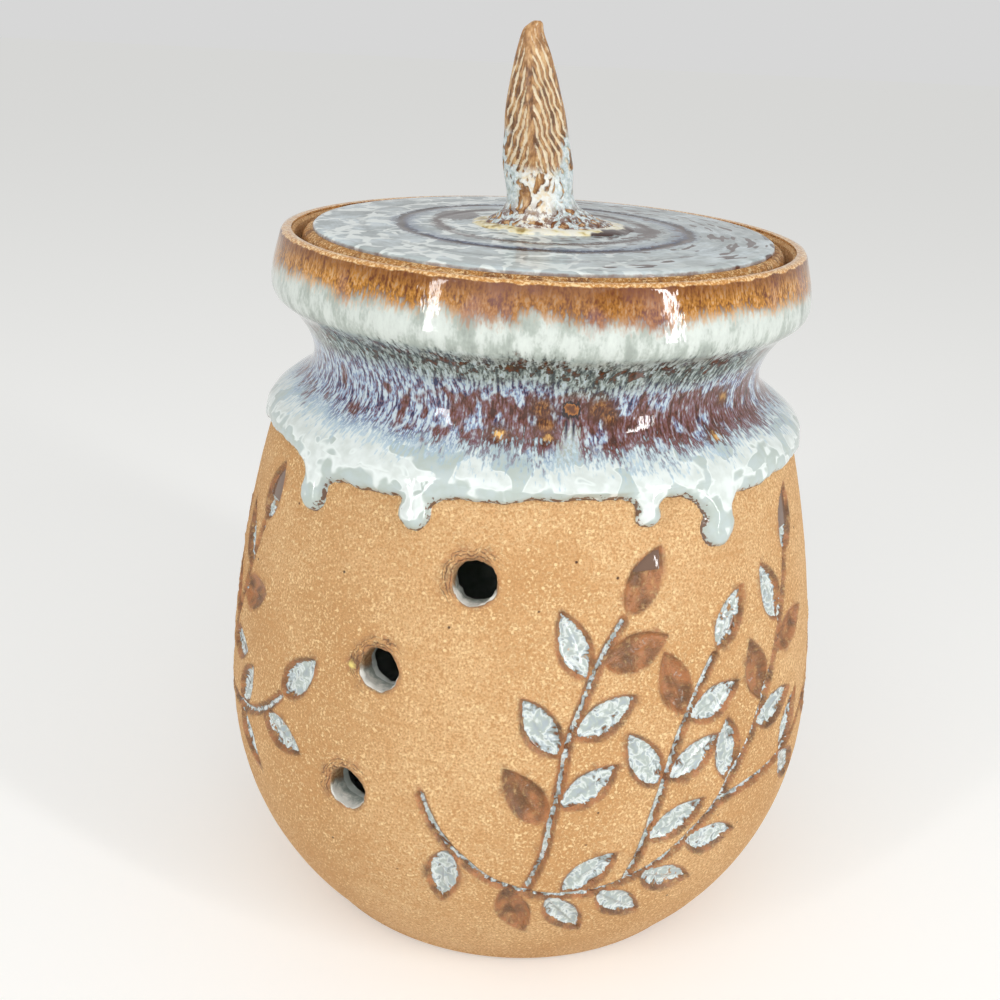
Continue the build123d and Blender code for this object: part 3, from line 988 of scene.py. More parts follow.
def run_glaze():
    """The collar's glaze: amber over pale over plum and blue streaks, down to a clouded roll."""
    colours = bpy.context.scene.keeper.colours
    paint = Paint("run_glaze", 0.05)
    paint.shader.inputs["IOR"].default_value = 1.5
    at = paint.at()
    x, y, height = paint.split(at)
    front = paint.remap(y, *FRONT)

    def streaked(squeeze, *how):
        """Noise that follows the glaze as it ran down the coat."""
        return paint.noise(paint.around(50.0, squeeze, paint.marked("fall")), *how)

    dash = streaked(0.32, 0.62, 2.0, 0.55)
    fleck = streaked(0.6, 0.36, 1.0)
    blot = streaked(0.75, 3.4, 2.0, 0.55)
    drift = streaked(0.7, 9.0)
    crackle = streaked(0.8, 1.1, 1.0)
    weave = paint.blend((dash, 0.74), (fleck, 0.26))
    level = paint.blend((height, 1.0), (dash, 4.5), (fleck, 2.0), (drift, 5.0), (1.0, -5.75))
    tongues = paint.blend((level, 1.0), (dash, 5.0), (1.0, -2.5))

    # Neck: short dashes of navy, mauve, blue and pale, burnt to plum and brown in patches.
    cool = paint.ramp(
        weave, (0.38, colours.navy), (0.44, colours.mauve), (0.50, colours.sky), (0.57, colours.mist)
    )
    burnt = paint.ramp(
        weave,
        (0.40, toned(colours.plum, 0.5)),
        (0.48, toned(colours.plum, 1.3)),
        (0.57, colours.mauve),
        (0.70, toned(colours.mist, 0.8)),
    )
    heat = paint.blend(
        (blot, 1.0),
        (paint.remap(x, -26.0, -8.0, -0.13, 0.05), 1.0),
        (paint.remap(height, 112.0, 117.0, 0.0, 0.2), -1.0),
    )
    neck = paint.mix(paint.remap(heat, 0.43, 0.53), cool, burnt)

    # A grey veil hangs from the crease in front.
    veil = paint.blend(
        (paint.away(x, VEIL_MIDDLE), 1.0), (height, 0.5), (dash, 5.0), (fleck, 2.0), (1.0, -58.6)
    )
    veil = paint.times(paint.remap(veil, -0.8, 0.5, 0.9, 0.0), front)
    neck = paint.mix(veil, neck, paint.mix(paint.remap(fleck, 0.4, 0.6), colours.moss, colours.mist))

    # Amber beads that broke through, each with a plum halo and an iron ring.
    iron = paint.ramp(paint.blend((fleck, 0.6), (crackle, 0.4)), *IRON)
    for bearing, level_at, reach, gold in BEADS:
        away = paint.vector("DISTANCE", at, tuple(on_coat(bearing, level_at)))
        away = paint.blend((away, 1.0), (fleck, 1.6), (crackle, 3.0), (1.0, -2.3))
        for inner, outer, share, tone in (
            (0.9, 1.9, 0.8, toned(colours.plum, 0.8)),
            (0.5, 1.3, 0.9, iron),
            (0.1, 0.55, gold, BEAD_GOLD),
        ):
            neck = paint.mix(paint.remap(away, reach * inner, reach * outer, share, 0.0), neck, tone)

    # A round drop, and its two dark runs.
    runs = paint.most(*(paint.band(x, run, DROP_RUN_WIDTH) for run in DROP_RUNS))
    runs = paint.times(paint.times(runs, paint.band(height, *DROP_RUNS_LEVEL)), front)
    neck = paint.mix(runs, neck, toned(colours.navy, 0.35))
    drop = paint.vector("DISTANCE", at, tuple(on_coat(*ROUND_DROP)))
    drop = paint.blend((drop, 1.0), (crackle, 1.6), (fleck, 0.8), (1.0, -1.2))
    for inner, outer, tone in DROP_TONES:
        neck = paint.mix(paint.remap(drop, inner, outer, 1.0, 0.0), neck, tone)

    # Crease under the rim: grey-green dashes darkened by painted shade under the rim's overhang, and a broken
    # row of brown blotches.
    crease = paint.ramp(
        weave,
        (0.38, toned(colours.shadow, 0.35)),
        (0.47, colours.shadow),
        (0.55, toned(colours.moss, 0.8)),
        (0.64, toned(colours.mist, 0.85)),
    )
    spill = paint.blend((streaked(0.75, 1.5, 2.0, 0.6), 1.0), (paint.band(level, *BLOTCHES_LEVEL), 0.10))
    crease = paint.mix(paint.remap(spill, 0.60, 0.64, 0.0, 0.9), crease, BLOTCH_BROWN)
    crease = paint.mix(paint.remap(spill, 0.69, 0.73, 0.0, 0.7), crease, colours.amber_dark)

    # Pale band: soft clouds, mottled grey-green, with painted shade darkening it low down where it turns
    # under.
    underside_shade = paint.remap(height, 120.5, 125.5, -0.07, 0.03)
    haze = streaked(0.5, 3.0, 2.0, 0.55)
    band = paint.ramp(
        paint.blend((haze, 0.65), (fleck, 0.15), (dash, 0.2), (underside_shade, 1.0)),
        (0.36, toned(colours.moss, 0.75)),
        (0.46, toned(colours.moss, 0.95)),
        (0.55, toned(colours.celadon, 0.95)),
        (0.64, toned(colours.celadon, 1.04)),
    )

    # Rim: mottled amber, golden below and burnt towards a toasted lip.
    rim = paint.ramp(
        paint.blend((dash, 0.4), (fleck, 0.35), (blot, 0.25)),
        (0.40, colours.amber_dark),
        (0.47, toned(colours.amber, 0.8)),
        (0.53, toned(colours.amber, 1.4)),
        (0.61, toned(colours.clay, 0.9)),
    )
    middle = paint.remap(paint.away(x, RIM_DARK_MIDDLE), 8.0, 34.0, 0.42, 0.0)
    rim = paint.mix(paint.times(middle, front), rim, colours.amber_dark)
    rim = paint.mix(paint.remap(drift, 0.50, 0.64, 0.0, 0.3), rim, toned(colours.mauve, 1.5))
    burn = paint.remap(paint.blend((height, 1.0), (fleck, 3.0)), *BURN_FROM, 0.0, 0.7)
    rim = paint.mix(burn, rim, colours.amber_dark)
    crumbs = paint.remap(paint.noise(at, 0.45), 0.42, 0.62)
    lip = paint.mix(crumbs, colours.toast, colours.grog)
    rim = paint.mix(paint.remap(paint.blend((height, 1.0), (blot, 1.0)), *LIP_FROM), rim, lip)

    # Roll: clouded white round clear sage patches, and a sage band along the hem.
    hem = paint.marked("hem")
    cloud = paint.noise(at, 6.0, 1.0, 0.5, 0.4)
    lobes = paint.noise(at, 3.6, 1.0, 0.5, 0.3)
    depth = paint.blend((hem, 1.0), (lobes, 11.0), (1.0, -5.2))
    clear = paint.blend((1.0, 26.6), (cloud, -40.0), (paint.noise(at, 1.6), -2.0))
    depth = paint.math("MINIMUM", depth, clear)
    soft = paint.remap(paint.noise(at, 2.4), 0.34, 0.7, 0.0, 0.4)
    roll = paint.mix(
        paint.remap(depth, 1.9, 3.2),
        paint.mix(soft, colours.sage, colours.mist),
        paint.mix(soft, colours.cream, colours.moss),
    )
    roll = paint.mix(paint.times(paint.band(depth, 3.1, 0.7), 0.6), roll, toned(colours.cream, 1.12))
    crumble = paint.noise(at, 1.0, 2.0, 0.6)
    crinkle = paint.remap(paint.blend((hem, 1.0), (crumble, 3.4)), 1.6, 1.85, 0.9, 0.0)
    roll = paint.mix(crinkle, roll, toned(colours.rust, 0.6))

    # The zones, one over the next.
    tone = paint.mix(paint.remap(tongues, *NECK_FROM), roll, neck)
    tone = paint.mix(paint.times(paint.band(tongues, *FRINGE_LEVEL), 0.6), tone, FRINGE_BLUE)
    for zone, starts in ((crease, CREASE_FROM), (band, BAND_FROM), (rim, RIM_FROM)):
        tone = paint.mix(paint.remap(level, *starts), tone, zone)
    ripple = paint.blend((dash, 0.25), (cloud, 0.6), (paint.noise(at, 2.6, 1.0), 1.2))
    return paint.wear(tone, normal=paint.bump(ripple, 0.07))


def lid_clay():
    """Toasted bare clay of the lid's rim."""
    colours = bpy.context.scene.keeper.colours
    paint = Paint("lid_clay", 0.6)
    ground, height = clay_ground(paint, colours.toast, colours.amber, colours)
    patch = paint.noise(paint.around(45.0, 1.0), 3.0, 3.0, 0.6)
    ground = paint.mix(paint.remap(patch, 0.48, 0.64, 0.0, 0.7), ground, colours.amber_dark)
    glint = paint.remap(paint.noise(paint.at(), 0.7, 2.0, 0.6), 0.54, 0.64, 0.0, 0.8)
    ground = paint.mix(glint, ground, colours.grog)
    return paint.wear(ground, normal=paint.bump(height, 0.2))


def lid_glaze():
    """Blue-grey glaze with white veins and broken brown rings."""
    colours = bpy.context.scene.keeper.colours
    paint = Paint("lid_glaze", 0.1)
    paint.shader.inputs["Specular IOR Level"].default_value = 0.14
    at = paint.at()
    x, y, _ = paint.split(at)
    reach = paint.vector("LENGTH", paint.node_out("ShaderNodeCombineXYZ", x, y, 0.0)[0])
    spun = paint.around(10.0, 1.0, reach)  # runs round the lid, quick across the radius
    wheel = paint.noise(spun, 1.3, 3.0, 0.6)
    broad = paint.noise(at, 11.0)
    tone = paint.ramp(
        paint.blend((wheel, 0.3), (paint.noise(at, 3.6), 0.3), (broad, 0.4)),
        (0.38, toned(colours.slate, 0.76)),
        (0.48, toned(colours.slate, 0.98)),
        (0.60, toned(colours.mist, 1.02)),
    )

    # White veins round grey cells, soft-edged, strongest on the left and in front.
    web = paint.cells(paint.bent(at, 5.0, 9.0), 8.4, "DISTANCE_TO_EDGE")
    side = paint.remap(paint.blend((x, 1.0), (y, 0.3), (broad, 30.0)), 4.0, 34.0, 0.95, 0.2)
    patchy = paint.remap(paint.noise(at, 3.0, 1.0), 0.3, 0.6, 0.0, 0.085)
    veins = paint.remap(paint.math("SUBTRACT", web, patchy), -0.02, 0.04, 1.0, 0.0)
    tone = paint.mix(paint.times(veins, side), tone, toned(colours.cream, 1.1))
    tone = paint.mix(paint.remap(y, -12.0, -38.0, 0.0, 0.25), tone, colours.cream)

    # Dark rings where the glaze broke over the throwing lines, feathered out and in.
    feather = paint.noise(at, 0.9, 2.0, 0.6)
    wander = paint.blend((reach, 1.0), (broad, 2.4), (feather, 3.0))
    gaps = paint.remap(paint.noise(spun, 3.0, 1.0), 0.3, 0.44, 0.45, 1.0)
    for radius, width, strength, name, share in LID_RINGS:
        line = paint.times(paint.band(wander, radius, width), gaps)
        tone = paint.mix(paint.times(line, strength), tone, toned(getattr(colours, name), share))
    dashes = paint.remap(paint.noise(spun, 1.7, 1.0), 0.59, 0.64)
    right = paint.remap(x, -4.0, 12.0, 0.0, 0.95)
    tone = paint.mix(paint.times(dashes, right), tone, colours.umber)

    # Brown stain beside the ends of the knob's foot.
    for middle, deep, wide, long in LID_STAINS:
        across = paint.blend((x, 1 / wide), (1.0, -middle / wide))
        along = paint.blend((y, 1 / long), (1.0, -deep / long))
        lobe = paint.vector("LENGTH", paint.node_out("ShaderNodeCombineXYZ", across, along, 0.0)[0])
        smear = paint.remap(paint.blend((lobe, 1.0), (wheel, 0.8)), 1.2, 1.45, 0.9, 0.0)
        tone = paint.mix(smear, tone, toned(colours.umber, 0.7))
    edge = paint.remap(paint.blend((reach, 1.0), (feather, 0.3)), 42.6, 42.9, 0.0, 0.7)
    tone = paint.mix(edge, tone, colours.amber_dark)
    return paint.wear(tone, normal=paint.bump(wheel, 0.04))


def knob_clay():
    """Brown clay with cream in its grooves, marbled with milky runs below and on its sides."""
    colours = bpy.context.scene.keeper.colours
    paint = Paint("knob_clay", 0.22)
    at = paint.at()
    x, _, z = paint.split(at)
    grain = paint.noise(at, 0.9, 3.0, 0.65)
    long = paint.noise(paint.squeezed(at, 0.35), 1.0, 3.0, 0.65)
    tip = paint.remap(z, *PALE_TIP, 0.0, 0.45)
    tone = paint.mix(tip, paint.ramp(long, *HORN), colours.clay_dark)
    groove = paint.blend((paint.marked("groove"), 1.0), (grain, 1.2), (long, 0.8))
    tone = paint.mix(paint.remap(groove, 1.26, 1.70), tone, IVORY)

    # Milky runs, and white strands round brown islands in the milky part.
    low = paint.marked("milk")
    marble = paint.noise(paint.squeezed(at, 0.4), 1.9, 2.0, 0.5, 1.1)
    milk = paint.remap(paint.blend((low, 1.0), (marble, 3.4)), 2.58, 2.74)
    strands = paint.cells(paint.squeezed(paint.bent(at, 2.4, 2.6), 0.45), 2.7, "DISTANCE_TO_EDGE")
    strands = paint.remap(strands, 0.09, 0.15, 1.0, 0.0)
    milk = paint.most(milk, paint.times(strands, paint.remap(low, 0.2, 0.5)))
    warm = paint.mix(paint.remap(grain, 0.36, 0.56), IVORY, MILK_WHITE)
    blue = paint.ramp(grain, (0.38, colours.sage), (0.48, colours.mist), (0.58, colours.cream))
    white = paint.mix(paint.remap(paint.away(x, KNOB_FACE_MIDDLE), 2.0, 4.2), warm, blue)
    tone = paint.mix(milk, tone, white)

    crust = paint.times(paint.marked("crust"), paint.remap(long, 0.44, 0.54, 0.8, 0.0))
    tone = paint.mix(crust, tone, colours.amber_dark)
    return paint.wear(tone, normal=paint.bump(paint.blend((milk, 1.0), (grain, 0.8)), 0.25))


def pool_glaze():
    """Thick cream glaze round the knob, ochre on one side and brown at its ends."""
    colours = bpy.context.scene.keeper.colours
    paint = Paint("pool_glaze", 0.1)
    at = paint.at()
    x, y, _ = paint.split(at)
    cloud = paint.noise(at, 3.0, 2.0, 0.55)
    ochre_left = paint.remap(x, -10.0, 0.0, -0.05, 0.10)
    tone = paint.ramp(paint.blend((cloud, 1.0), (ochre_left, 1.0)), *CREAM_OVER_OCHRE)
    along = paint.math("SUBTRACT", x, POOL_MIDDLE)
    ends = paint.blend((paint.math("ABSOLUTE", along), 1.0), (along, 0.09), (cloud, 5.0))
    ends = paint.remap(ends, POOL_REACH[0] - 0.3, POOL_REACH[0] + 0.6)
    front_right = paint.blend((x, 0.72), (y, -0.69), (cloud, 4.0))
    ends = paint.most(ends, paint.remap(front_right, 14.0, 14.9))
    tone = paint.mix(ends, tone, toned(colours.umber, 0.7))
    rim = paint.blend((paint.marked("rim"), 1.0), (cloud, 0.6))
    tone = paint.mix(paint.remap(rim, 1.27, 1.36, 0.0, 0.7), tone, colours.slate)
    return paint.wear(tone, normal=paint.bump(cloud, 0.1))


def floor_finish(tone, glow):
    """Matte floor that the camera and reflections see a little brighter than it is lit."""
    paint = Paint("floor", 0.9)
    paint.shader.inputs["Specular IOR Level"].default_value = 0.0
    paint.feed(paint.shader.inputs["Emission Color"], tone)
    paint.feed(paint.shader.inputs["Emission Strength"], paint.times(paint.seen(), glow))
    return paint.wear(tone)


# --- pieces ------------------------------------------------------------------------------------------
class KEEPER_OT_wall(bpy.types.Operator):
    """Throws the wall, cuts the vents and presses the sprig into it"""

    bl_idname = "keeper.wall"
    bl_label = "Jar wall"

    def execute(self, context):
        size = context.scene.keeper.wall
        row = size.row / MM
        belly = even_line(BELLY_LINE[BELLY_LINE[:, 1] <= SHOULDER], row)
        low, high = INSIDE_SPAN
        inside = [(r - WALL_THICKNESS, z) for r, z in even_line(belly, 4.0)[::-1] if low < z < high]
        outline = FOOT + [tuple(p) for p in belly] + NECK_AND_LIP + GALLERY + THROAT + UNDER_SHOULDER
        outline += inside + FLOOR_BEND + [(r, FLOOR_HEIGHT) for r in FLOOR_RADII]
        wall = turned("jar_wall_thrown", outline, size.steps)

        # Finer faces where the sprig and the vents go.
        spots = middles(wall)
        outer = radii(spots) > belly_radius(spots[:, 2]) - 1.0
        outer &= (spots[:, 2] > 3) & (spots[:, 2] < SHOULDER)
        by_sprig = sprig_relief(spots, size)[3] < FINER_BY_SPRIG
        to_vent = np.min([in_vent(spots, vent)[0] for vent in VENTS], axis=0) - size.vent / MM / 2
        refine(wall, outer & (by_sprig | (to_vent < FINER_BY_VENT)), 2)

        cutter = vent_cutters(size)
        pick(wall)
        bore = wall.modifiers.new("vents", "BOOLEAN")
        bore.operation = "DIFFERENCE"
        bore.solver = "EXACT"
        bore.object = cutter
        bpy.ops.object.modifier_apply(modifier=bore.name)
        bpy.data.objects.remove(cutter)

        self.shape(wall, size)
        finish_piece(wall, "jar", bare_clay(), "jar_wall", crease=38)
        wall.data.materials.append(liner_glaze())
        spots = middles(wall)
        height = spots[:, 2]
        lined = radii(spots) < belly_radius(np.clip(height, 2, LINER_SPLIT)) - WALL_THICKNESS + 1.2
        lined &= (height > FLOOR_HEIGHT - 0.3) & (height < LINER_SPLIT)
        lined |= (radii(spots) < LINER_REACH) & (height >= LINER_SPLIT) & (height < LINER_TOP)
        wall.data.polygons.foreach_set("material_index", lined.astype(np.int32))
        return {"FINISHED"}

    def shape(self, wall, size):
        """Relief of throwing rings, vents and sprig, with what the clay's finish reads."""
        points = places(wall)
        outer = (radii(points) > belly_radius(points[:, 2]) - 0.25) & (points[:, 2] > 2.5)
        outer &= points[:, 2] < SHOULDER - 0.6
        relief, pooled, stained, near = sprig_relief(points, size)
        rings = rough(np.column_stack([points[:, :2] * 0.03, points[:, 2]]), 2.6, 2)
        relief += size.throwing / MM * rings + 0.2 * rough(points, 34.0, 4) - 0.3
        vent, crumb, upper, deep = np.zeros((4, len(points)))
        edge = np.full(len(points), 9.0)
        half = size.vent / MM / 2
        for number, spot in enumerate(VENTS):
            away, side, rise, out = in_vent(points, spot)
            here = (away < half + TORN_REACH) & (np.abs(out) < TORN_DEPTH)
            torn = rough(points[here], 1.5, number + 11)
            upper_left = ease(rise[here] - side[here], -3, 4)
            beyond = away[here] - half
            edge[here] = beyond
            upper[here] = upper_left
            # Depth into the vent, which the clay's material darkens as painted shade.
            deep[here] = -out[here]
            lip = hill(beyond, 0.9, 0.55) * (0.25 + 0.9 * upper_left)
            relief[here] += size.burr / MM * lip * (0.6 + 0.9 * torn)
            arcs = np.maximum(hill(beyond, 0.7, 0.45), hill(beyond + 0.5 * torn, 1.9, 0.4))
            stained[here] = np.maximum(stained[here], 0.7 * arcs * ease(torn + upper_left, 0.5, 0.9))
            stained[here] = np.maximum(stained[here], 0.8 * hill(beyond, 0.1, 0.35))
            if number % len(VENT_COLUMN) == 1:
                # A crumb of ochre clay beside the middle vent of each column.
                beside = np.hypot(side[here] + half + CRUMB_AWAY, rise[here] + 0.5)
                crumb[here] = np.maximum(crumb[here], 1 - ease(beside, 0.5, 0.8))
                stained[here] = np.maximum(stained[here], hill(beside, 1.05, 0.35))
                relief[here] += 0.45 * (1 - ease(beside, 0.2, 1.2))
            bored = here & (away < half + 0.75) & (out < -0.35)
            low = ease(-rise[bored] / half + 0.3 * rough(points[bored], 1.6, number + 51), -0.1, 0.4)
            vent[bored] = 0.2 + 0.8 * low
            stained[bored] = 0.5
        place(wall, np.where(outer[:, None], push_out(points, relief), points))
        mark(wall, pool=np.where(outer, pooled, 0), stain=stained, inset=np.clip(-near, 0, 3))
        mark(wall, vent=vent, vent_edge=edge, vent_torn=upper, vent_depth=deep, crumb=crumb)


def blend_max(a, b, width):
    """The larger of two distances, with a fillet of a width where they meet."""
    share = np.clip(0.5 + 0.5 * (a - b) / width, 0, 1)
    return b + (a - b) * share + width * share * (1 - share)


def inside_hem(points):
    """Distance of each point of the shoulder inside the glaze's hem, below 0 outside."""
    turn = bearings(points)
    height = points[:, 2]
    inside = height - np.interp(turn, *np.transpose(HEM))
    for bearing, tip, half in DRIPS:
        across = np.radians(from_bearing(points, bearing)) * belly_radius(height)
        across = across + 0.35 * rough_along(height, 4.0, bearing)
        bulb = tip + half
        waist = half * (0.86 + 0.5 * ease(height, bulb + 2.0, 99.5))
        near_bulb = half * 0.98 - np.hypot(across, height - bulb)
        run = np.where(height > bulb, waist - np.abs(across), near_bulb)
        inside = blend_max(inside, np.maximum(run, near_bulb), 2.2)
    return inside + 0.28 * rough(points, 1.4, 6) + 0.65 * rough(points, 4.6, 7)


def fall_at(height, coat):
    """Distance down the coat's outline from its top, at each height."""
    line = coat[np.argmax(coat[:, 1]) :]
    run = np.concatenate([[0], np.cumsum(np.hypot(*np.diff(line, axis=0).T))])
    return np.interp(height, line[::-1, 1], run[::-1]) + np.maximum(ROLL_TOP - height, 0)


class KEEPER_OT_collar_glaze(bpy.types.Operator):
    """Runs the collar's glaze over rim, neck and shoulder, down to its rolled hem and drips"""

    bl_idname = "keeper.collar_glaze"
    bl_label = "Collar glaze"

    def execute(self, context):
        size = context.scene.keeper.collar
        roll = size.roll / MM
        coat = even_line(smooth_line(COAT), size.row / MM)
        falls = np.arange(ROLL_TOP, SHEET_FOOT, -size.hem_row / MM)[1:]
        sheet = [(float(belly_radius(z)) + roll, z) for z in falls]
        outline = [tuple(p) for p in coat] + sheet + [(SHEET_BACK, falls[-1])] + COAT_BACK
        glaze = turned("collar_glaze_run", outline, size.steps, closed=True)

        points = places(glaze)
        height = points[:, 2]
        low = height < ROLL_TOP - 0.01
        outer = radii(points) > belly_radius(np.minimum(height, ROLL_TOP)) + 0.5 * roll

        # The sheet's foot stays inside the clay, and rises over the vents.
        lift = sum(1 - ease(np.abs(from_bearing(points, b)), 6, 11) for b, z in VENTS if z > HIGH_VENTS)
        share = (ROLL_TOP - height) / (ROLL_TOP - SHEET_FOOT)
        points[low, 2] += (share * SHEET_LIFT * lift)[low]

        # Thickness follows the distance from the hem, with a rounded edge.
        hem = points[low & outer].copy()
        inside = inside_hem(hem)
        meniscus = size.meniscus / MM
        rounding = np.sqrt(1 - (1 - np.clip(inside / meniscus, 0, 1)) ** 2)
        bead = size.bead / MM * hill(inside, meniscus * 0.8, 1.6) * ease(99.5 - hem[:, 2], 0, 2)
        lumps = 0.1 * rough(hem, 3.2, 8)
        thick = np.where(inside > 0, (roll + bead + lumps) * rounding, np.maximum(2.2 * inside, -0.75))
        ray = hem[:, :2] / radii(hem)[:, None]
        hem[:, :2] = ray * belly_radius(hem[:, 2])[:, None]
        blended = ease(hem[:, 2], 100.0, ROLL_TOP)
        moved = push_out(hem, thick)
        up_to = hem.copy()
        up_to[:, :2] = ray * (belly_radius(hem[:, 2]) + roll)[:, None]
        points[low & outer] = moved + (up_to - moved) * blended[:, None]

        # Runs and lumps of the coat above.
        high = (height >= ROLL_TOP - 0.01) & (radii(points) > COAT_REACH) & outer
        ray = points[:, :2] / radii(points)[:, None]
        runs = rough(np.column_stack([ray * 46, points[:, 2] * 0.15]), 3.0, 9)
        swell = rough(points, 7.0, 10)
        fade = ease(COAT_FADE - points[:, 2], 0, 2) * high
        relief = fade * (0.05 * runs + 0.14 * swell)
        for bearing, level, reach, _ in BEADS:
            away = np.linalg.norm(points - np.array(on_coat(bearing, level)), axis=1)
            relief += 0.3 * (1 - ease(away, 0.3 * reach, 1.1 * reach)) * high
        points[:, :2] += ray * relief[:, None]
        place(glaze, points)
        reach = np.full(len(points), HEM_FAR)
        reach[low & outer] = inside
        tall = points[:, 2] >= ROLL_TOP - 0.01
        reach[tall] = np.minimum(HEM_FAR, points[tall, 2] - HEM_LEVEL)
        mark(glaze, hem=reach, fall=fall_at(points[:, 2], coat))
        finish_piece(glaze, "jar", run_glaze(), "collar_glaze", crease=60)
        return {"FINISHED"}


class KEEPER_OT_lid_disc(bpy.types.Operator):
    """Turns the lid's clay disc"""

    bl_idname = "keeper.lid_disc"
    bl_label = "Lid disc"

    def execute(self, context):
        size = context.scene.keeper.lid
        outline = [
            (0.0, LID_UNDER),
            (20.0, LID_UNDER),
            (LID_REACH - 3.0, LID_UNDER),
            (LID_REACH - 0.8, LID_UNDER + 0.05),
            (LID_REACH - 0.2, LID_UNDER + 0.5),
            (LID_REACH, LID_UNDER + 1.4),
            (LID_REACH, LID_TOP - 2.2),
            (LID_REACH - 0.1, LID_TOP - 1.4),
            (LID_REACH - 0.45, LID_TOP - 0.7),
            (LID_REACH - 1.1, LID_TOP - 0.15),
            (LID_REACH - 1.9, LID_TOP),
            (LID_REACH - 4.0, LID_TOP),
            (20.0, LID_TOP),
            (0.0, LID_TOP),
        ]
        disc = turned("lid_disc_turned", even_line(outline, 0.9)[1:-1].tolist(), size.steps)
        pick(disc)
        bpy.ops.object.mode_set(mode="EDIT")
        bpy.ops.mesh.select_mode(type="VERT")
        bpy.ops.mesh.select_all(action="DESELECT")
        bpy.ops.mesh.select_non_manifold()
        bpy.ops.mesh.fill_holes(sides=0)
        bpy.ops.object.mode_set(mode="OBJECT")
        points = places(disc)
        rim = ease(radii(points), LID_REACH - 4, LID_REACH - 1)
        rim *= ease(points[:, 2], LID_UNDER + 1, LID_TOP - 1)
        nick = rim * (0.10 * rough(points, 1.3, 12) + 0.08 * rough(points, 5.0, 13) - 0.12)
        points *= (1 + nick / LID_REACH)[:, None] ** np.array([1, 1, 0])
        points[:, 2] = np.minimum(points[:, 2], LID_TOP)
        place(disc, points)
        finish_piece(disc, "lid", lid_clay(), "lid_disc")
        return {"FINISHED"}


class KEEPER_OT_lid_glaze(bpy.types.Operator):
    """Floods the lid's top with glaze"""

    bl_idname = "keeper.lid_glaze"
    bl_label = "Lid glaze"

    def execute(self, context):
        size = context.scene.keeper.lid
        reach = size.glaze_reach / MM
        edge = size.glaze_edge / MM
        crown = size.glaze_crown / MM
        field = np.arange(3, reach - 0.8, 0.55)
        outline = [(0, LID_TOP + crown)]
        outline += [(r, LID_TOP + crown + (edge - crown) * (r / reach) ** 2) for r in field]
        outline += [(reach - inset, LID_TOP + edge * share) for inset, share in LID_GLAZE_EDGE]
        outline += [(r, LID_TOP - 0.1) for r in (reach, 20, 0)]
        glaze = turned("lid_glaze_flood", outline, size.steps)
        points = places(glaze)
        upper = points[:, 2] > LID_TOP + 0.2
        away = radii(points)
        rings = 0.05 * rough_along(away, 2.2, 14) + 0.05 * rough(points, 6.0, 15)
        rings -= sum(depth * hill(away, radius, width) for radius, width, depth in LID_THROWN)
        points[:, 2] += rings * upper * (1 - ease(away, reach - 1.5, reach - 0.4))
        spread = ease(away, reach - 2.5, reach) * (0.14 * rough(points, 2.4, 16) - 0.12)
        points[:, :2] *= (1 + spread / reach)[:, None]
        place(glaze, points)
        finish_piece(glaze, "lid", lid_glaze(), "lid_glaze", crease=60)
        return {"FINISHED"}


class KEEPER_OT_knob(bpy.types.Operator):
    """Models the horn-shaped knob with its herringbone"""

    bl_idname = "keeper.knob"
    bl_label = "Knob"

    def execute(self, context):
        size = context.scene.keeper.knob
        line = smooth_line(KNOB)
        tall = line[-1, 0]
        outline = [(0, 0)] + [(DRUM, h) for h in np.linspace(0, tall, size.rows)] + [(0, tall)]
        knob = turned("knob_horn", outline, size.steps)
        unit = places(knob)
        height = unit[:, 2]
        turn = np.arctan2(unit[:, 1], unit[:, 0])
        share = radii(unit) / DRUM
        middle, half = (np.interp(height, line[:, 0], line[:, k]) for k in (1, 2))
        deep = half * FLATNESS
        points = np.column_stack(
            [middle + half * share * np.cos(turn), deep * share * np.sin(turn), LID_TOP + height]
        )
        # Ridge down the front and the back, roots at the foot, and finger marks.
        ridge = 0.35 * np.abs(np.sin(turn)) ** 6 * ease(height, 6, 14) * (1 - ease(height, 28, 36))
        low = 1 - ease(height, 2.0, 7.5)
        rooted = np.column_stack([np.cos(turn) * 3.2, np.sin(turn) * 3.2, height * 0.1])
        roots = low * (0.9 * rough(rooted, 1.0, 17) + 0.5 * rough(points, 1.3, 18))
        dents = 0.3 * rough(points, 5.0, 19) * ease(height, 3, 9)
        # Herringbone: grooves that fall away from the spine on both faces.
        across = np.abs(points[:, 0] - middle - SPINE)
        bowed = 1.15 * across**0.85
        beat = height / (size.rise / MM) + bowed / (size.spacing / MM)
        beat += 0.5 * rough(points, 3.4, 20) + 0.25 * rough(points, 1.4, 24)
        groove = ease(0.5 + 0.5 * np.cos(2 * pi * beat), 0.4, 0.9)
        groove *= ease(across, 0.25, 0.8) * ease(height, GROOVES_FROM - 2, GROOVES_FROM + 3)
        groove *= 1 - 0.6 * ease(height, GROOVES_TO - 6, GROOVES_TO)
        groove *= ease(np.abs(np.sin(turn)), 0.12, 0.4)
        relief = ridge + roots + 0.6 * dents - size.groove / MM * groove
        push = np.column_stack([np.cos(turn), np.sin(turn), 0 * turn])
        points += push * (relief * share * ease(tall - height, 0, 1.5))[:, None]
        place(knob, points)
        sides = ease(np.abs(np.cos(turn)), 0.55, 0.85) * ease(height, 3, 6)
        milk = 0.75 * (1 - ease(height, 8, 15)) + 0.6 * sides * (1 - ease(height, 14, 23))
        mark(knob, groove=groove, milk=milk, crust=1 - ease(height, 3.0, 7.0))
        finish_piece(knob, "lid", knob_clay(), "knob", crease=60)
        return {"FINISHED"}


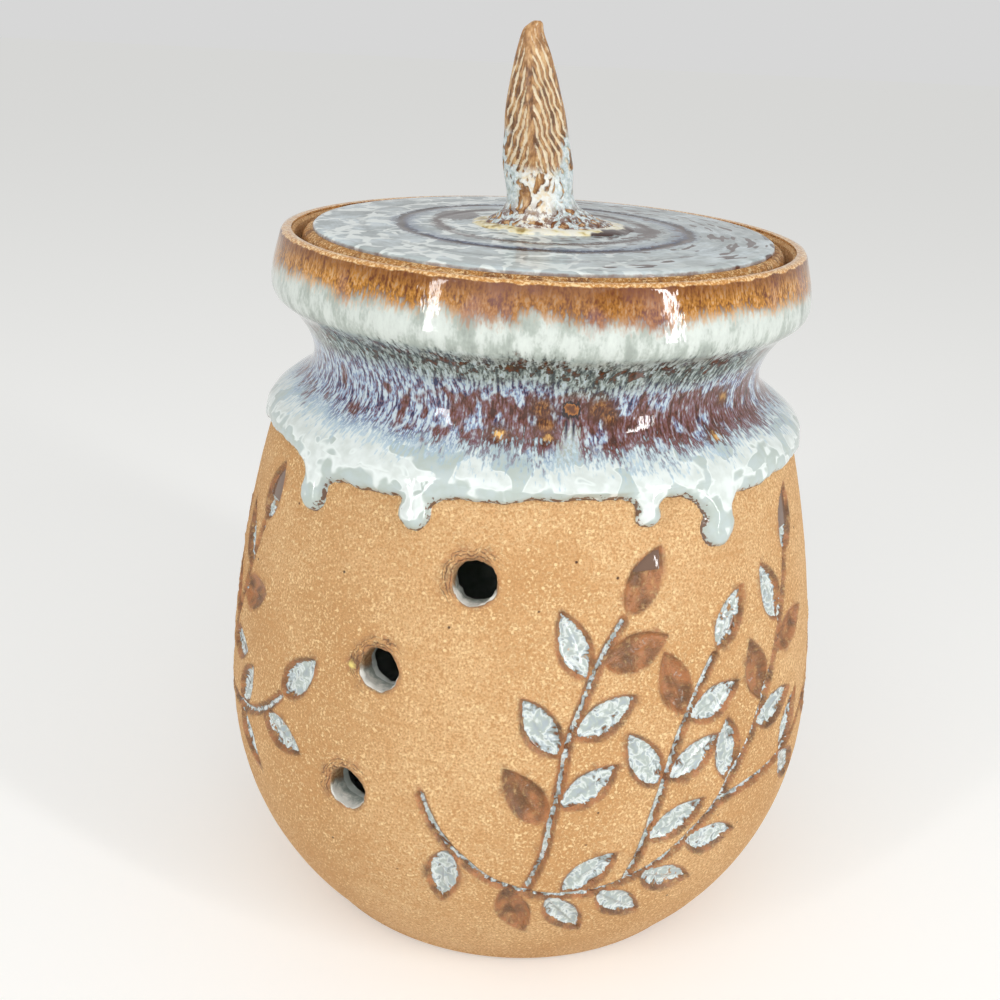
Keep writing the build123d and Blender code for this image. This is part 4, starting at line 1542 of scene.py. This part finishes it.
class KEEPER_OT_knob_pool(bpy.types.Operator):
    """Pools glaze round the knob's foot"""

    bl_idname = "keeper.knob_pool"
    bl_label = "Knob foot glaze"

    def execute(self, context):
        size = context.scene.keeper.lid
        pool = turned("knob_foot_pool", POOL_DRUM, size.steps)
        unit = places(pool)
        turn = np.arctan2(unit[:, 1], unit[:, 0])
        wavy = rough(np.column_stack([np.cos(turn), np.sin(turn), 0 * turn]) * 2.4, 1.0, 21)
        share = radii(unit) / DRUM * (0.955 + 0.07 * wavy)
        swell = 0.12 * rough(unit, 2.0, 22) * ease(unit[:, 2], 1.0, 1.6)
        points = np.column_stack(
            [
                POOL_MIDDLE + POOL_REACH[0] * share * np.cos(turn),
                POOL_REACH[1] * share * np.sin(turn),
                LID_TOP + unit[:, 2] + swell,
            ]
        )
        place(pool, points)
        mark(pool, rim=radii(unit) / DRUM)
        finish_piece(pool, "lid", pool_glaze(), "knob_foot_glaze", crease=60)
        return {"FINISHED"}


# Soft boxes, in metres: the tall ones by name, bearing and share of the power.
TALL_LAMPS = [("tall_lamp_left", -43.0, 1.0), ("tall_lamp_right", 52.0, 1.7)]
TALL_LAMP_AWAY = 0.55  # from the jar's axis
TALL_LAMP_HEIGHT = 0.27  # of its middle, and of the point that it looks at
TALL_LAMP_SIZE = (0.036, 0.5)
FRONT_LAMP_SPOT = (-0.15, -0.75, 0.75)
FRONT_LAMP_SIZE = (1.2, 1.0)
FRONT_LAMP_SHARE = 3.2
FRONT_LAMP_AIM = 0.09


class KEEPER_OT_stage(bpy.types.Operator):
    """Sets the floor, the lamps, the even light and the camera"""

    bl_idname = "keeper.stage"
    bl_label = "Stage"

    def execute(self, context):
        size = context.scene.keeper.stage
        start_fresh()
        bpy.ops.mesh.primitive_plane_add(size=12.0, location=(0, 0, 0))
        floor = context.object
        floor.name = floor.data.name = "floor"
        floor.data.materials.append(floor_finish(size.floor, size.glow))

        context.scene.world = self.backdrop(size)
        for name, bearing, share in TALL_LAMPS:
            turn = radians(bearing)
            spot = (TALL_LAMP_AWAY * sin(turn), -TALL_LAMP_AWAY * cos(turn), TALL_LAMP_HEIGHT)
            self.lamp(name, spot, TALL_LAMP_SIZE, size.tall_light * share, TALL_LAMP_HEIGHT)
        power = size.tall_light * FRONT_LAMP_SHARE
        self.lamp("front_lamp", FRONT_LAMP_SPOT, FRONT_LAMP_SIZE, power, FRONT_LAMP_AIM)

        bpy.ops.object.camera_add(location=size.eye)
        camera = context.object
        camera.name = "camera"
        view = Matrix.Rotation(pi / 2 - size.pitch, 3, "X") @ Matrix.Rotation(size.roll, 3, "Z")
        camera.rotation_euler = view.to_euler()
        camera.data.lens = size.lens
        camera.data.sensor_width = 36.0
        camera.data.clip_start = 0.01
        camera.data.clip_end = 50.0
        context.scene.camera = camera
        context.scene.view_settings.view_transform = "Standard"
        start_fresh()
        return {"FINISHED"}

    def backdrop(self, size):
        """Even light all round, which is seen as a pale backdrop."""
        world = bpy.data.worlds.new("even_light")
        world.use_nodes = True
        nodes = Nodes(world.node_tree)
        ground = nodes.tree.nodes["Background"]
        ground.inputs["Color"].default_value = (1, 1, 1, 1)
        strength = nodes.remap(nodes.seen(), 0.0, 1.0, size.sky_light, size.backdrop)
        nodes.feed(ground.inputs["Strength"], strength)
        return world

    def lamp(self, name, spot, size, power, aim_height):
        """A soft box that looks at the jar's axis at a height."""
        bpy.ops.object.light_add(type="AREA", location=spot)
        lamp = bpy.context.object
        lamp.name = name
        lamp.data.shape = "RECTANGLE"
        lamp.data.size, lamp.data.size_y = size
        lamp.data.energy = power
        aim = Vector((0, 0, aim_height)) - Vector(spot)
        lamp.rotation_euler = aim.to_track_quat("-Z", "Y").to_euler()


PIECES = (
    KEEPER_OT_wall,
    KEEPER_OT_collar_glaze,
    KEEPER_OT_lid_disc,
    KEEPER_OT_lid_glaze,
    KEEPER_OT_knob,
    KEEPER_OT_knob_pool,
    KEEPER_OT_stage,
)


class KEEPER_PT_pieces(bpy.types.Panel):
    """Lists the keeper's pieces"""

    bl_label = "Garlic keeper"
    bl_space_type = "VIEW_3D"
    bl_region_type = "UI"
    bl_category = "Keeper"

    def draw(self, context):
        for piece in PIECES:
            self.layout.operator(piece.bl_idname)


CLASSES = (
    KeeperWall,
    KeeperCollar,
    KeeperLid,
    KeeperKnob,
    KeeperColours,
    KeeperStage,
    KeeperSettings,
    *PIECES,
    KEEPER_PT_pieces,
)


def register():
    """Adds the keeper's settings, operators and panel."""
    for kind in CLASSES:
        bpy.utils.register_class(kind)
    bpy.types.Scene.keeper = bpy.props.PointerProperty(type=KeeperSettings)


def unregister():
    """Takes them away again."""
    del bpy.types.Scene.keeper
    for kind in reversed(CLASSES):
        bpy.utils.unregister_class(kind)


def main():
    """Makes every piece in order."""
    register()
    bpy.ops.keeper.wall()
    bpy.ops.keeper.collar_glaze()
    bpy.ops.keeper.lid_disc()
    bpy.ops.keeper.lid_glaze()
    bpy.ops.keeper.knob()
    bpy.ops.keeper.knob_pool()
    bpy.ops.keeper.stage()


if __name__ == "__main__":
    main()
